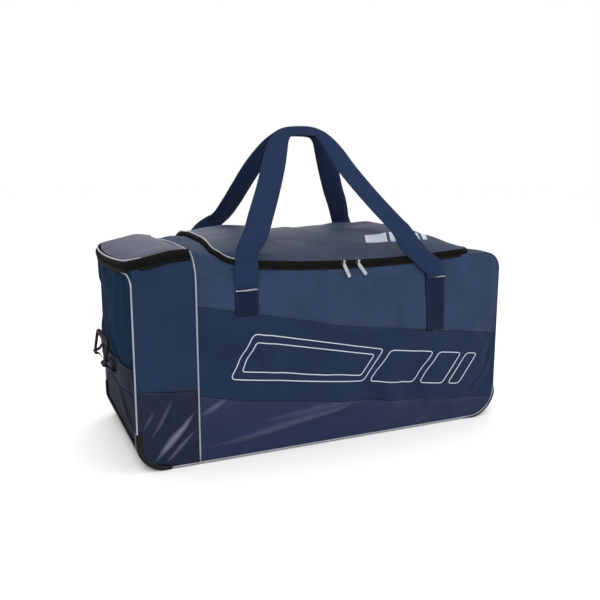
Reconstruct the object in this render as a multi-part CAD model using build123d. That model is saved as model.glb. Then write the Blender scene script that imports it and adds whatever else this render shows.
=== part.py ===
"""Wheeled hockey equipment bag with a skate pocket, two lids, two carry handles and a haul handle.

Millimetres. +X runs along the bag from the skate pocket to the wheels, -Y is the front, +Z is up.
The origin is on the floor, below the middle of the body's length and depth.
"""

import os
from math import atan2, cos, degrees, hypot, radians, sin

from build123d import *

os.makedirs("parts", exist_ok=True)

# Body
LENGTH = 840.0
DEPTH = 380.0
POCKET_LENGTH = 120.0
PANEL = 3.0  # padded fabric
RIM = 388.0  # top edge of the walls round the main opening
POCKET_RIM_LOW = 392.0  # at the end of the bag
POCKET_RIM_HIGH = 418.0  # at the partition
LEFT_CORNER = 55.0  # bottom corner radius of the side panels, pocket end
RIGHT_CORNER = 65.0  # bottom corner radius, wheel end
SHOULDER = 38.0  # top corner radius, wheel end
END_BULGE = 28.0  # the padded pocket end stands proud of its seams by this much
PIPING = 3.0
PIPING_STAND = 2.4  # the piping stands out of the panels by this much

# Seams of the side panels, as heights above the floor
POCKET_SEAM = (165.0, 153.0)  # at the end of the bag, at the partition
LOWER_SEAM = ((0.0, 141.0), (105.0, 118.0), (320.0, 88.0), (597.0, 56.0), (720.0, 45.0))
UPPER_SEAM = ((0.0, 318.0), (310.0, 254.0), (720.0, 200.0))  # along the bag from the partition
END_SEAM = 150.0  # top of the coated fabric on both ends

# Bottom protection and wheels
SKID = 4.0
SKID_RISE = 50.0
SKID_HORN_RISE = 84.0
SKID_HORN = 12.0
SKID_REACH = 64.0
CHASSIS_RISE = 67.0
CHASSIS_REACH = 83.0
WHEEL_RADIUS = 38.0
WHEEL_WIDTH = 26.0
WHEEL_PROUD = 6.0
WHEEL_INSET = 45.0  # wheel's middle from the side of the bag
HUB_RADIUS = 26.0
TYRE_ROUND = 4.5
TYRE_GROOVE = 1.5
HUB_INSET = 1.0  # the hub's faces lie inside the tyre's
HUB_RECESS = 3.5
HUB_RIM = 4.0
HUB_BOSS = 4.5  # wall of the boss round the axle
HUB_HOLES = 6
HUB_HOLE_RADIUS = 4.2
HUB_HOLE_RING = 15.0
AXLE_RADIUS = 4.0
AXLE_CLEARANCE = 0.05
WELL_GAP = 4.0
WELL_SIDE_GAP = 3.0
WELL_WALL = 3.0
SCREW_RADIUS = 2.0
SCREW_HEAD = 4.5
SCREW_HEAD_RISE = 2.025
SCREW_ROWS = (-98.0, -38.0, 38.0, 98.0)  # across the bag
SCREW_BELOW = 8.0  # below the top of the end's corner round
SCREW_CLEARANCE = 0.1
BOARD = 3.0
BOARD_GAP = 4.0

# Lids and zips
LID_LEFT = 48.0  # from the partition to the main lid
LID_LENGTH = 600.0
LID_RISE = 50.0
LID_SLOPE = 38.0  # degrees of the lid's sides from the vertical
LID_WALL = 4.0
LID_BACK_GAP = 12.0
LID_CORNER = 34.0
MOUTH_LAP = 6.0  # the mouth is cut this much wider than the lid at each end
YOKE_SHELF = 6.0  # level part of the yoke beside the partition
YOKE_ROOF = 8.0
YOKE_TOE = 14.0
TAPE = 2.0
TAPE_WIDTH = 14.0
TAPE_LIP = 3.0  # the body tape stands out of the front panel's edge
POCKET_LID = 8.0
POCKET_LID_CROWN = 8.0
POCKET_LID_INSET = 16.0
POCKET_LID_END = 6.0  # the pocket lid stops this far short of the partition
GAP = 0.3  # between bodies that pass close by

# Sliders and pulls
SLIDER_LENGTH = 11.0
SLIDER_PLATE = 2.6
SLIDER_RISE = 13.0
SLIDER_STATIONS = (11.0, 45.0)  # along the bag from its middle
PULL_SLANTS = (27.0, 38.0)  # degrees from the vertical
PULL_LENGTH = 30.0
PULL_WIDTH = 7.0
PULL_THICK = 2.0
PULL_NECK = 6.4  # from the pin to the top of the tab
PIN_RADIUS = 0.9
PIN_CLEARANCE = 0.08
EAR = 1.5
EAR_GAP = 4.4
EAR_REACH = 5.4
EAR_RISE = 5.0
PIN_REACH = 3.2  # from the slider's face to its pin
EYE_RADIUS = 2.1
NECK_THICK = 1.8
PLATE_ROUND = 2.5
TAB_ROUND = 1.6
HOOK = 1.6  # the slider's lip under the tape
POCKET_SLIDER_BACK = 14.0  # from the partition

# Webbing
WEB = 50.0
WEB_THICK = 2.4
BARTACK = 344.0
ROOT_TOP = 450.0
STRAP_FEET = (-200.0, 243.0)  # middles of the left and the right strap at the bartack
ROOT_TOPS = {"front": (-178.0, 148.0), "back": (-150.0, 210.0)}  # and at the root's top
PATCH_LAP = (2.35, -4.69)  # the left and the right patch end this far below the upper seam
STRAP_STAND = 3.2  # from the tape's lip to the straps
GRIP_HEIGHT = 657.0
GRIP_HALF_GAP = 11.5
GRIP_WIDTH = 26.0
# The loops' bends, left and right of the grip, as (across, share of the way up to the grip)
LOOP_BENDS = {
    "front": (
        ((-95.0, 0.66), (-62.0, 0.88), (-34.0, 1.0)),
        ((54.0, 1.0), (63.0, 0.88), (72.0, 0.68), (108.0, 0.30)),
    ),
    "back": (
        ((-115.0, 0.25), (-88.0, 0.66), (-60.0, 0.88), (-34.0, 1.0)),
        ((54.0, 1.0), (74.0, 0.88), (104.0, 0.66), (160.0, 0.30)),
    ),
}

# Haul handle on the pocket end
BAND_FOOT = 158.0
BAND_SET = 0.6  # the band's seams lie outside the end panel's
HAUL_AXIS = 190.0
HAUL_SPREAD = 55.0
HAUL_BAR = 3.0
HAUL_BAR_CLEARANCE = 0.06
HAUL_LEG = 12.0
HAUL_STAND = 44.0  # the grip stands this far above the bar
HAUL_GRIP = 5.5
ANCHOR_WIDTH = 14.0
ANCHOR_WALL = 2.5

# Worked out
X0 = -LENGTH / 2
X1 = LENGTH / 2
XP = X0 + POCKET_LENGTH
Y0 = -DEPTH / 2
Y1 = DEPTH / 2
FLOOR = SKID  # underside of the fabric base
INSIDE = DEPTH / 2 - PANEL


def save(node, shape):
    """Write one sub-part to its own file."""
    shape.label = node
    export_step(shape, f"parts/{node}.step")


def prism(face, low, high):
    """A face drawn in the XZ plane, as (along, up), made solid from y = low to y = high."""
    placed = Plane(origin=(0, high, 0), x_dir=(1, 0, 0), z_dir=(0, -1, 0)) * face
    return extrude(placed, high - low)


def outline(inset=0.0):
    """The bag's outline from the front: both compartments, with the walls moved in by inset."""
    a, b, c = LEFT_CORNER - inset, RIGHT_CORNER - inset, SHOULDER - inset
    left, right, low = X0 + inset, X1 - inset, FLOOR + inset
    arc = 1 - sin(radians(45))
    with BuildSketch() as sketch:
        with BuildLine():
            Line((left, POCKET_RIM_LOW), (left, low + a))
            ThreePointArc((left, low + a), (left + a * arc, low + a * arc), (left + a, low))
            Line((left + a, low), (right - b, low))
            ThreePointArc((right - b, low), (right - b * arc, low + b * arc), (right, low + b))
            Line((right, low + b), (right, RIM - inset - c))
            corner = (right - c * arc, RIM - inset - c * arc)
            ThreePointArc((right, RIM - inset - c), corner, (right - c, RIM - inset))
            Line((right - c, RIM - inset), (XP, RIM - inset))
            Line((XP, RIM - inset), (XP, POCKET_RIM_HIGH))
            Line((XP, POCKET_RIM_HIGH), (left, POCKET_RIM_LOW))
        make_face()
    return sketch.sketch


def area(*corners):
    """A region of the front view, from its corners."""
    return make_face(Polyline(*corners, close=True))


def piece(face, low, high):
    """Prisms of a face that may be in several parts, as one shape."""
    solids = [prism(part, low, high) for part in face.faces()]
    return solids[0] if len(solids) == 1 else Compound(children=solids)


# Side panels: the front and the back are each cut from four pieces of fabric. The seams slant down
# from the partition, and the coated fabric along the bottom reaches under the skate pocket.
far = 2 * LENGTH
lower_line = [(XP + along, up) for along, up in LOWER_SEAM]
upper_line = [(XP + along, up) for along, up in UPPER_SEAM]
pocket_line = [(X0, POCKET_SEAM[0]), (XP, POCKET_SEAM[1])]
whole_side = outline()
below = area((X0, 0), (X1, 0), (X1, LOWER_SEAM[-1][1]), *lower_line[::-1][1:], *pocket_line[::-1])
band = area(*lower_line[:-1], (X1, LOWER_SEAM[-1][1]), (X1, UPPER_SEAM[-1][1]), *upper_line[::-1][1:])
above = area(*upper_line[:-1], (X1, UPPER_SEAM[-1][1]), (X1, far), (XP, far))
pocket = area(*pocket_line, (XP, far), (X0, far))
for side, low, high in (("front", Y0, Y0 + PANEL), ("back", Y1 - PANEL, Y1)):
    save(f"{side}_lower_panel", piece(whole_side & below, low, high))
    save(f"{side}_middle_panel", piece(whole_side & band, low, high))
    save(f"{side}_upper_panel", piece(whole_side & above, low, high))
    save(f"{side}_pocket_panel", piece(whole_side & pocket, low, high))

# Wheels: their places come first, because the base and the end are cut away for the wells.
WHEEL_X = X1 + SKID + WHEEL_PROUD - WHEEL_RADIUS
WELL_RADIUS = WHEEL_RADIUS + WELL_GAP
WELL_HALF = WHEEL_WIDTH / 2 + WELL_SIDE_GAP
wheel_rows = {"front": Y0 + WHEEL_INSET, "back": Y1 - WHEEL_INSET}


def drum(radius, half, y, x=WHEEL_X, z=WHEEL_RADIUS):
    """A cylinder along Y."""
    return Pos(x, y, z) * Rot(90, 0, 0) * Cylinder(radius, 2 * half)


wells = [drum(WELL_RADIUS + WELL_WALL, WELL_HALF + WELL_WALL, y) for y in wheel_rows.values()]
hollows = [drum(WELL_RADIUS, WELL_HALF, y) for y in wheel_rows.values()]

# Screws: through the chassis plate and the fabric, in a row between the wheels.
CHASSIS_SCREW_Z = FLOOR + RIGHT_CORNER - SCREW_BELOW


def end_screw(y, grow=0.0):
    """A pan-head screw along X, its head on the chassis plate's outer face."""
    head = SCREW_HEAD_RISE
    shank = 2 * SKID + PANEL
    bolt = Pos(0, 0, -shank / 2) * Cylinder(SCREW_RADIUS + grow, shank)
    cap = Pos(0, 0, head / 2) * Cylinder(SCREW_HEAD + grow, head)
    return Pos(X1 + SKID, y, CHASSIS_SCREW_Z) * Rot(0, 90, 0) * (bolt + cap)


# Gusset: one strip round the ends and the base, between the two sides, cut into its panels.
strip = piece(outline() - outline(PANEL), -INSIDE, INSIDE)


def cut(shape, x_low, x_high, z_low, z_high):
    """The part of a shape between two x and two z values."""
    box = Box(x_high - x_low, far, z_high - z_low)
    return shape & Pos((x_low + x_high) / 2, 0, (z_low + z_high) / 2) * box


BASE_LEFT = X0 + LEFT_CORNER
BASE_RIGHT = X1 - max(RIGHT_CORNER, CHASSIS_REACH)
MOUTH_LEFT = XP + LID_LEFT - MOUTH_LAP
MOUTH_RIGHT = XP + LID_LEFT + LID_LENGTH + MOUTH_LAP
left_lower = cut(strip, X0 - 1, BASE_LEFT, 0, END_SEAM)
right_lower = cut(strip, BASE_RIGHT, X1 + 1, 0, END_SEAM)
base = cut(strip, BASE_LEFT, BASE_RIGHT, 0, FLOOR + PANEL)
for well in wells:
    right_lower -= well
    base -= well
for y in SCREW_ROWS:
    right_lower -= end_screw(y, SCREW_CLEARANCE)
save("left_end_lower_panel", left_lower)
save("right_end_lower_panel", right_lower)
save("right_end_upper_panel", cut(strip, BASE_RIGHT, X1 + 1, END_SEAM, RIM - SHOULDER))
save("right_yoke_panel", cut(strip, MOUTH_RIGHT, X1 + 1, RIM - SHOULDER, RIM + 1))
save("base_panel", base)

# Pocket end: a padded panel that stands proud between its seams, with a webbing band across it.
BAND_TOP = BAND_FOOT + WEB


def lens(bulge, y_half, x_seam, low, high, x_flat):
    """A panel, flat inside and bowed outside, from z = low to z = high."""
    with BuildSketch() as plan:
        with BuildLine():
            ThreePointArc((x_seam, -y_half), (x_seam - bulge, 0), (x_seam, y_half))
            Line((x_seam, y_half), (x_flat, y_half))
            Line((x_flat, y_half), (x_flat, -y_half))
            Line((x_flat, -y_half), (x_seam, -y_half))
        make_face()
    return Pos(0, 0, low) * extrude(plan.sketch, high - low)


slope = degrees(atan2(POCKET_RIM_HIGH - POCKET_RIM_LOW, POCKET_LENGTH))
rim_plane = Pos(X0, 0, POCKET_RIM_LOW) * Rot(0, -slope, 0)
above_rim = rim_plane * Pos(0, 0, far / 2) * Box(far, far, far)
end_panel = lens(END_BULGE, INSIDE, X0, END_SEAM, POCKET_RIM_LOW + PANEL, X0 + PANEL) - above_rim
save("left_end_upper_panel", end_panel)
full = lens(END_BULGE + WEB_THICK, INSIDE, X0 - BAND_SET, BAND_FOOT, BAND_TOP, X0 + PANEL)
save("left_end_band", full - end_panel)

# Partition between the skate pocket and the main compartment, and the yoke from it to the lid.
partition = Box(PANEL, 2 * INSIDE, POCKET_RIM_HIGH - FLOOR - PANEL)
partition_z = (POCKET_RIM_HIGH + FLOOR + PANEL) / 2
save("partition_panel", Pos(XP - PANEL / 2, 0, partition_z) * partition)
yoke_top = [(XP, POCKET_RIM_HIGH), (XP + YOKE_SHELF, POCKET_RIM_HIGH), (MOUTH_LEFT, RIM + 1)]
yoke = area((XP, RIM), *yoke_top, (MOUTH_LEFT, RIM))
yoke_hollow = area((XP + PANEL, RIM - 1), (XP + PANEL, POCKET_RIM_HIGH - YOKE_ROOF), (MOUTH_LEFT - YOKE_TOE, RIM - 1))
save("left_yoke_panel", prism(yoke - yoke_hollow, Y0, Y1))

# Stiffener board lying on the base of the main compartment.
board_right = min(BASE_RIGHT, WHEEL_X - WELL_RADIUS - WELL_WALL) - BOARD_GAP
board_left = XP + BOARD_GAP
board = Box(board_right - board_left, 2 * (INSIDE - BOARD_GAP), BOARD)
save("base_board", Pos((board_left + board_right) / 2, 0, FLOOR + PANEL + BOARD / 2) * board)

# Hinge strip: the folded fabric along the back edge that the lid turns on.
HINGE_Y = Y1 - LID_BACK_GAP + 2
HINGE_Z = RIM + TAPE + GAP / 2 + 1
hinge_strip = Box(LID_LENGTH, Y1 - HINGE_Y - 2, TAPE)
hinge_strip_y = (Y1 + HINGE_Y + 2) / 2
lid_middle = XP + LID_LEFT + LID_LENGTH / 2
save("lid_hinge_strip", Pos(lid_middle, hinge_strip_y, RIM + TAPE / 2) * hinge_strip)


def plan_rectangle(x_low, x_high, y_low, y_high, z):
    """A rectangle in plan."""
    sketch = Rectangle(x_high - x_low, y_high - y_low)
    return Pos((x_low + x_high) / 2, (y_low + y_high) / 2, z) * sketch


# Main zip: one tape lies on the walls' edge, the other is sewn under the lid's edge.
LID_X = (XP + LID_LEFT, XP + LID_LEFT + LID_LENGTH)
LID_Y = (Y0 + 1, Y1 - LID_BACK_GAP)
tape_out = plan_rectangle(LID_X[0] - 4, LID_X[1] + 4, Y0 - TAPE_LIP, LID_Y[1] - 6, 0)
tape_in = plan_rectangle(LID_X[0] + 10, LID_X[1] - 10, Y0 - TAPE_LIP + TAPE_WIDTH, far, 0)
tape_shape = tape_out - tape_in
save("main_zip_body_tape", Pos(0, 0, RIM) * extrude(tape_shape, TAPE))
LID_FOOT = RIM + TAPE + GAP
save("main_zip_lid_tape", Pos(0, 0, LID_FOOT) * extrude(tape_shape, TAPE))

# Main lid: a low dome with sloping sides, stiff enough to keep its shape.
lid_low = LID_FOOT + TAPE


def dome(inset, rise, z):
    """A rectangle with round corners drawn in towards its top."""
    width = LID_X[1] - LID_X[0] - 2 * inset
    depth = LID_Y[1] - LID_Y[0] - 2 * inset
    face = RectangleRounded(width, depth, LID_CORNER - inset)
    place = Pos(lid_middle, (LID_Y[0] + LID_Y[1]) / 2, z)
    return place * extrude(face, rise, taper=LID_SLOPE)


lid_shell = dome(0, LID_RISE, lid_low) - dome(LID_WALL, LID_RISE - LID_WALL, lid_low)
save("main_lid", lid_shell)

# Pocket zip and lid. The pocket's rim slopes up to the partition, and the lid turns there. Both
# follow the padded end, so they bow out over it.
run = POCKET_LENGTH / cos(radians(slope))
PLID_END = run - POCKET_LID_END


def pocket_plan(inset, end):
    """The pocket's mouth in the rim's plane, drawn in by inset on three sides, as far as end."""
    low, high = Y0 + inset, Y1 - inset
    with BuildSketch() as plan:
        with BuildLine():
            ThreePointArc((inset, low), (inset - END_BULGE, 0), (inset, high))
            Line((inset, high), (end, high))
            Line((end, high), (end, low))
            Line((end, low), (inset, low))
        make_face()
    return plan.sketch


back_lip = plan_rectangle(0, PLID_END, Y1 - TAPE_WIDTH, Y1 + TAPE_LIP, 0)
pocket_tape_out = pocket_plan(0, PLID_END) + back_lip
pocket_tape = extrude(pocket_tape_out - pocket_plan(TAPE_WIDTH + 4, far), TAPE)
save("pocket_zip_body_tape", rim_plane * pocket_tape)
save("pocket_zip_lid_tape", rim_plane * Pos(0, 0, TAPE + GAP) * pocket_tape)
plid_low = 2 * TAPE + GAP
plid_in = -END_BULGE
with BuildSketch() as plid_side:
    with BuildLine():
        foot = [(plid_in, plid_low), (PLID_END, plid_low)]
        top = plid_low + POCKET_LID
        Line(*foot)
        Line(foot[1], (PLID_END, top))
        ThreePointArc((PLID_END, top), ((plid_in + PLID_END) / 2, top + POCKET_LID_CROWN), (plid_in, top))
        Line((plid_in, top), foot[0])
    make_face()
plid_edge = extrude(pocket_plan(POCKET_LID_INSET, PLID_END), far)
save("pocket_lid", rim_plane * (prism(plid_side.sketch, Y0, Y1) & plid_edge))
pocket_hinge = rim_plane * Pos(PLID_END + 2, 0, plid_low + 2)

# Piping: a cord in a folded strip, sewn into the seams that outline the bag.
def ring(x_low, x_high, grow):
    """A band round the bag across its length, standing proud of its side panels."""
    height = POCKET_RIM_HIGH + grow - FLOOR
    outer = Box(x_high - x_low, DEPTH + 2 * grow, height)
    inner = Box(2 * (x_high - x_low), DEPTH, 2 * (POCKET_RIM_HIGH - FLOOR))
    shape = Pos(0, 0, FLOOR + height / 2) * outer - Pos(0, 0, FLOOR) * inner
    return Pos((x_low + x_high) / 2, 0, 0) * shape


save("partition_piping", ring(XP - PIPING / 2, XP + PIPING / 2, PIPING_STAND))
for side, y_face, out in (("front", Y0, -1), ("back", Y1, 1)):
    y_far = y_face + out * PIPING_STAND
    side_face = cut(piece(outline() - outline(PIPING), min(y_face, y_far), max(y_face, y_far)),
                    X0 - 1, X1 + 1, FLOOR, RIM - SHOULDER)
    save(f"{side}_piping", side_face - Pos(XP, 0, 0) * Box(PIPING * 1.2, far, far))

# Skid: a moulded guard round the bottom of the pocket end, with a horn up each corner.
def plate(rise, reach, x_end, way):
    """A plate round a bottom corner of the bag, in the front view; way is -1 at the left end."""
    outer = outline(-SKID) - outline()
    low, high = (x_end - SKID, x_end + reach) if way < 0 else (x_end - reach, x_end + SKID)
    window = Pos((low + high) / 2, rise / 2) * Rectangle(high - low, rise)
    return (outer & window).faces()[0]


skid_face = plate(SKID_RISE, SKID_REACH, X0, -1)
horn_face = plate(SKID_HORN_RISE, SKID_REACH, X0, -1)
skid = prism(skid_face, Y0, Y1)
for low, high in ((Y0, Y0 + SKID_HORN), (Y1 - SKID_HORN, Y1)):
    skid += prism(horn_face, low, high)
save("end_skid", skid)

# Wheel chassis: a moulded plate round the bottom of the other end, with a well for each wheel.
chassis = prism(plate(CHASSIS_RISE, CHASSIS_REACH, X1, 1), Y0, Y1)
inside_bag = prism(outline(), Y0 + PANEL, Y1 - PANEL)
for well in wells:
    chassis += well & inside_bag
for hollow, y in zip(hollows, wheel_rows.values()):
    chassis -= hollow
    chassis -= drum(AXLE_RADIUS, WELL_HALF + 2 * WELL_WALL, y)
for y in SCREW_ROWS:
    chassis -= end_screw(y, SCREW_CLEARANCE)
save("wheel_chassis", chassis)
save("chassis_screws", Compound(children=[end_screw(y) for y in SCREW_ROWS]))

# Wheels: a rubber tyre on a moulded hub, turning on a steel axle held in the well's walls.
for side, y in wheel_rows.items():
    axle = drum(AXLE_RADIUS, WELL_HALF + WELL_WALL, y)
    save(f"{side}_axle", axle)
    tyre = drum(WHEEL_RADIUS, WHEEL_WIDTH / 2, y)
    tyre = fillet(tyre.edges().filter_by(GeomType.CIRCLE), TYRE_ROUND)
    groove = drum(WHEEL_RADIUS + 1, TYRE_GROOVE, y) - drum(WHEEL_RADIUS - TYRE_GROOVE, TYRE_GROOVE, y)
    tyre = tyre - drum(HUB_RADIUS, WHEEL_WIDTH, y) - groove
    save(f"{side}_wheel_tyre", tyre)
    hub_half = WHEEL_WIDTH / 2 - HUB_INSET
    hub = drum(HUB_RADIUS, hub_half, y)
    for face in (-1, 1):
        recess = drum(HUB_RADIUS - HUB_RIM, HUB_RECESS, y + face * hub_half)
        hub -= recess - drum(AXLE_RADIUS + HUB_BOSS, HUB_RECESS + 1, y + face * hub_half)
    for turn in range(HUB_HOLES):
        angle = radians(360 / HUB_HOLES * turn)
        hole_x = WHEEL_X + HUB_HOLE_RING * cos(angle)
        hole_z = WHEEL_RADIUS + HUB_HOLE_RING * sin(angle)
        hub -= drum(HUB_HOLE_RADIUS, WHEEL_WIDTH, y, hole_x, hole_z)
    hub -= drum(AXLE_RADIUS + AXLE_CLEARANCE, WHEEL_WIDTH, y)
    save(f"{side}_wheel_hub", hub)


# Main sliders and pulls: each slider hooks under the body tape's lip, and its pull swings on a pin.
def slider(x, out_y, z):
    """A slider on a tape whose top is at z and whose lip ends at out_y, facing -Y."""
    face_y = out_y - GAP - SLIDER_PLATE / 2
    front = Box(SLIDER_LENGTH, SLIDER_PLATE, SLIDER_RISE)
    front = fillet(front.edges().filter_by(Axis.Y), PLATE_ROUND)
    shape = Pos(x, face_y, z - TAPE / 2) * front
    lip = Box(SLIDER_LENGTH * 0.8, TAPE_LIP + GAP, HOOK)
    shape += Pos(x, out_y + (TAPE_LIP - GAP) / 2 - GAP, z - TAPE - GAP - HOOK / 2) * lip
    ear_y = face_y - SLIDER_PLATE / 2
    for way in (-1, 1):
        ear = Box(EAR, EAR_REACH, EAR_RISE)
        shape += Pos(x + way * (EAR_GAP + EAR) / 2, ear_y - EAR_REACH / 2 + 0.1, z) * ear
    pin = Rot(0, 90, 0) * Cylinder(PIN_RADIUS, EAR_GAP + EAR)
    return shape + Pos(x, ear_y - PIN_REACH, z) * pin


def pull(x, out_y, z, slant):
    """A coated tab under an eye that turns on the slider's pin; slant tips the tab along X."""
    eye_y = out_y - GAP - SLIDER_PLATE - PIN_REACH
    eye_width = EAR_GAP - 2 * GAP
    eye = Rot(0, 90, 0) * Cylinder(EYE_RADIUS, eye_width)
    neck = Pos(0, 0, -PULL_NECK / 2 - 1) * Box(eye_width, NECK_THICK, PULL_NECK - 1)
    tab = Pos(0, 0, -PULL_LENGTH / 2) * Box(PULL_WIDTH, PULL_THICK, PULL_LENGTH)
    tab = fillet(tab.edges().filter_by(Axis.Y), TAB_ROUND)
    shape = eye + neck + Pos(0, 0, -PULL_NECK) * Rot(0, -slant, 0) * tab
    shape -= Rot(0, 90, 0) * Cylinder(PIN_RADIUS + PIN_CLEARANCE, eye_width * 2)
    return Pos(x, eye_y, z) * shape


for name, x, slant in zip(("left", "right"), SLIDER_STATIONS, PULL_SLANTS):
    save(f"main_slider_{name}", slider(x, Y0 - TAPE_LIP, RIM + TAPE))
    save(f"main_pull_{name}", pull(x, Y0 - TAPE_LIP, RIM + TAPE, slant))

# Pocket slider: the same, facing the back, parked by the partition.
pocket_park = rim_plane * Pos(run - POCKET_SLIDER_BACK, Y1 + TAPE_LIP, 0) * Rot(0, 0, 180)
save("pocket_slider", pocket_park * slider(0, 0, TAPE))
save("pocket_pull", pocket_park * pull(0, 0, TAPE, 0))

# Carry handles: each strap is sewn down on a patch, rises past the lid's edge as the root, and then
# leans in to the middle as the loop, whose top is folded and stitched into a grip.
STRAP_OUT = TAPE_LIP + STRAP_STAND  # straps stand off the side panels by this much


def ribbon(points, widths, foot):
    """A flat band through points: straight runs with round joints, cut off square at the foot."""
    shape = Sketch()
    for (a, b), width in zip(zip(points[:-1], points[1:]), widths):
        angle = degrees(atan2(b[1] - a[1], b[0] - a[0]))
        run_length = hypot(b[0] - a[0], b[1] - a[1])
        middle = Pos((a[0] + b[0]) / 2, (a[1] + b[1]) / 2)
        shape += middle * Rot(0, 0, angle) * Rectangle(run_length, width)
    for (x, y), before, after in zip(points[1:-1], widths[:-1], widths[1:]):
        shape += Pos(x, y) * Circle(min(before, after) / 2)
    return shape - Pos(0, foot - far / 2) * Rectangle(far, far)


def drawn_back(end, following):
    """A strap's end moved back along its own run, so that the cut at its foot is full width."""
    run_length = hypot(end[0] - following[0], end[1] - following[1])
    share = WEB / run_length
    return (end[0] + share * (end[0] - following[0]), end[1] + share * (end[1] - following[1]))


def height_at(seam, x):
    """The height of a seam's line at x."""
    after = next(i for i, corner in enumerate(seam) if corner[0] >= x)
    (a, low), (b, high) = seam[after - 1], seam[after]
    return low + (high - low) * (x - a) / (b - a)


for side, way in (("front", -1), ("back", 1)):
    out = way * (DEPTH / 2 + STRAP_OUT)
    near = way * DEPTH / 2
    patches = []
    for x, lap in zip(STRAP_FEET, PATCH_LAP):
        foot = height_at(upper_line, x) - lap
        patch_height = BARTACK - foot
        patch = Box(WEB, WEB_THICK, patch_height)
        patches.append(Pos(x, near + way * WEB_THICK / 2, foot + patch_height / 2) * patch)
    save(f"{side}_strap_patches", Compound(children=patches))
    roots = []
    for x, top_x in zip(STRAP_FEET, ROOT_TOPS[side]):
        half = WEB / 2
        low = BARTACK + 1
        root_face = area((x - half, low), (x + half, low), (top_x + half, ROOT_TOP), (top_x - half, ROOT_TOP))
        start = out if way < 0 else out - WEB_THICK
        roots.append(prism(root_face, start, start + WEB_THICK))
    save(f"{side}_handle_roots", Compound(children=roots))
    # The loop lies in a plane that leans in from the roots to the grip.
    y_root = out + (WEB_THICK / 2 if way < 0 else -WEB_THICK / 2)
    reach = hypot(abs(y_root) - GRIP_HALF_GAP, GRIP_HEIGHT - ROOT_TOP)
    lean = Vector(0, -way * (abs(y_root) - GRIP_HALF_GAP), GRIP_HEIGHT - ROOT_TOP).normalized()
    loop_plane = Plane(origin=(0, y_root, ROOT_TOP), x_dir=(1, 0, 0), z_dir=Vector(1, 0, 0).cross(lean))
    foot = GAP + WEB_THICK
    left_bends, right_bends = LOOP_BENDS[side]
    left_points = [(ROOT_TOPS[side][0], 0.0), *((x, share * reach) for x, share in left_bends)]
    right_points = [*((x, share * reach) for x, share in right_bends), (ROOT_TOPS[side][1], 0.0)]
    left_points[0] = drawn_back(left_points[0], left_points[1])
    right_points[-1] = drawn_back(right_points[-1], right_points[-2])
    widths = [WEB] * (len(left_points) - 1) + [GRIP_WIDTH] + [WEB] * (len(right_points) - 1)
    loop = loop_plane * ribbon(left_points + right_points, widths, foot)
    save(f"{side}_handle_loop", extrude(loop, WEB_THICK / 2, both=True))

# Haul handle: a bail whose bar turns in two webbing anchors sewn to the band on the pocket end.
band_x = X0 - BAND_SET - (END_BULGE + WEB_THICK)
haul_x = band_x - ANCHOR_WALL - HAUL_BAR - 1.0
anchors = []
for way in (-1, 1):
    y = way * HAUL_SPREAD
    block = Pos(haul_x, y, HAUL_AXIS) * Rot(90, 0, 0) * Cylinder(HAUL_BAR + ANCHOR_WALL, ANCHOR_WIDTH)
    foot_low = X0 - END_BULGE * (1 - (HAUL_SPREAD / INSIDE) ** 2) - 6
    foot = Box(foot_low - haul_x, ANCHOR_WIDTH, 2 * (HAUL_BAR + ANCHOR_WALL))
    block += Pos((foot_low + haul_x) / 2, y, HAUL_AXIS) * foot
    bore = Rot(90, 0, 0) * Cylinder(HAUL_BAR + HAUL_BAR_CLEARANCE, 3 * ANCHOR_WIDTH)
    block -= Pos(haul_x, y, HAUL_AXIS) * bore
    anchors.append(block - full)
save("haul_anchors", Compound(children=anchors))
bar_half = HAUL_SPREAD + ANCHOR_WIDTH / 2 + 1 + HAUL_LEG
haul = Pos(haul_x, 0, HAUL_AXIS) * Rot(90, 0, 0) * Cylinder(HAUL_BAR, 2 * bar_half)
for way in (-1, 1):
    leg = Box(HAUL_BAR * 2, HAUL_LEG, HAUL_STAND)
    haul += Pos(haul_x, way * (bar_half - HAUL_LEG / 2), HAUL_AXIS + HAUL_STAND / 2) * leg
grip_bar = Rot(90, 0, 0) * Cylinder(HAUL_GRIP, 2 * bar_half)
haul += Pos(haul_x, 0, HAUL_AXIS + HAUL_STAND) * grip_bar
save("haul_handle", haul)

print("hinges: lid y, z", HINGE_Y, HINGE_Z, "pocket", pocket_hinge.position, "slope", slope)
print("wheel x", WHEEL_X, "pull eye y", Y0 - TAPE_LIP - GAP - SLIDER_PLATE - PIN_REACH, "z", RIM + TAPE)
print("pocket pull", (pocket_park * Pos(0, -GAP - SLIDER_PLATE - PIN_REACH, TAPE)).position)
print("root axis y", Y0 - STRAP_OUT + WEB_THICK / 2, "haul axis", haul_x, HAUL_AXIS)
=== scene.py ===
from math import cos, hypot, pi, radians, sin

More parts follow.
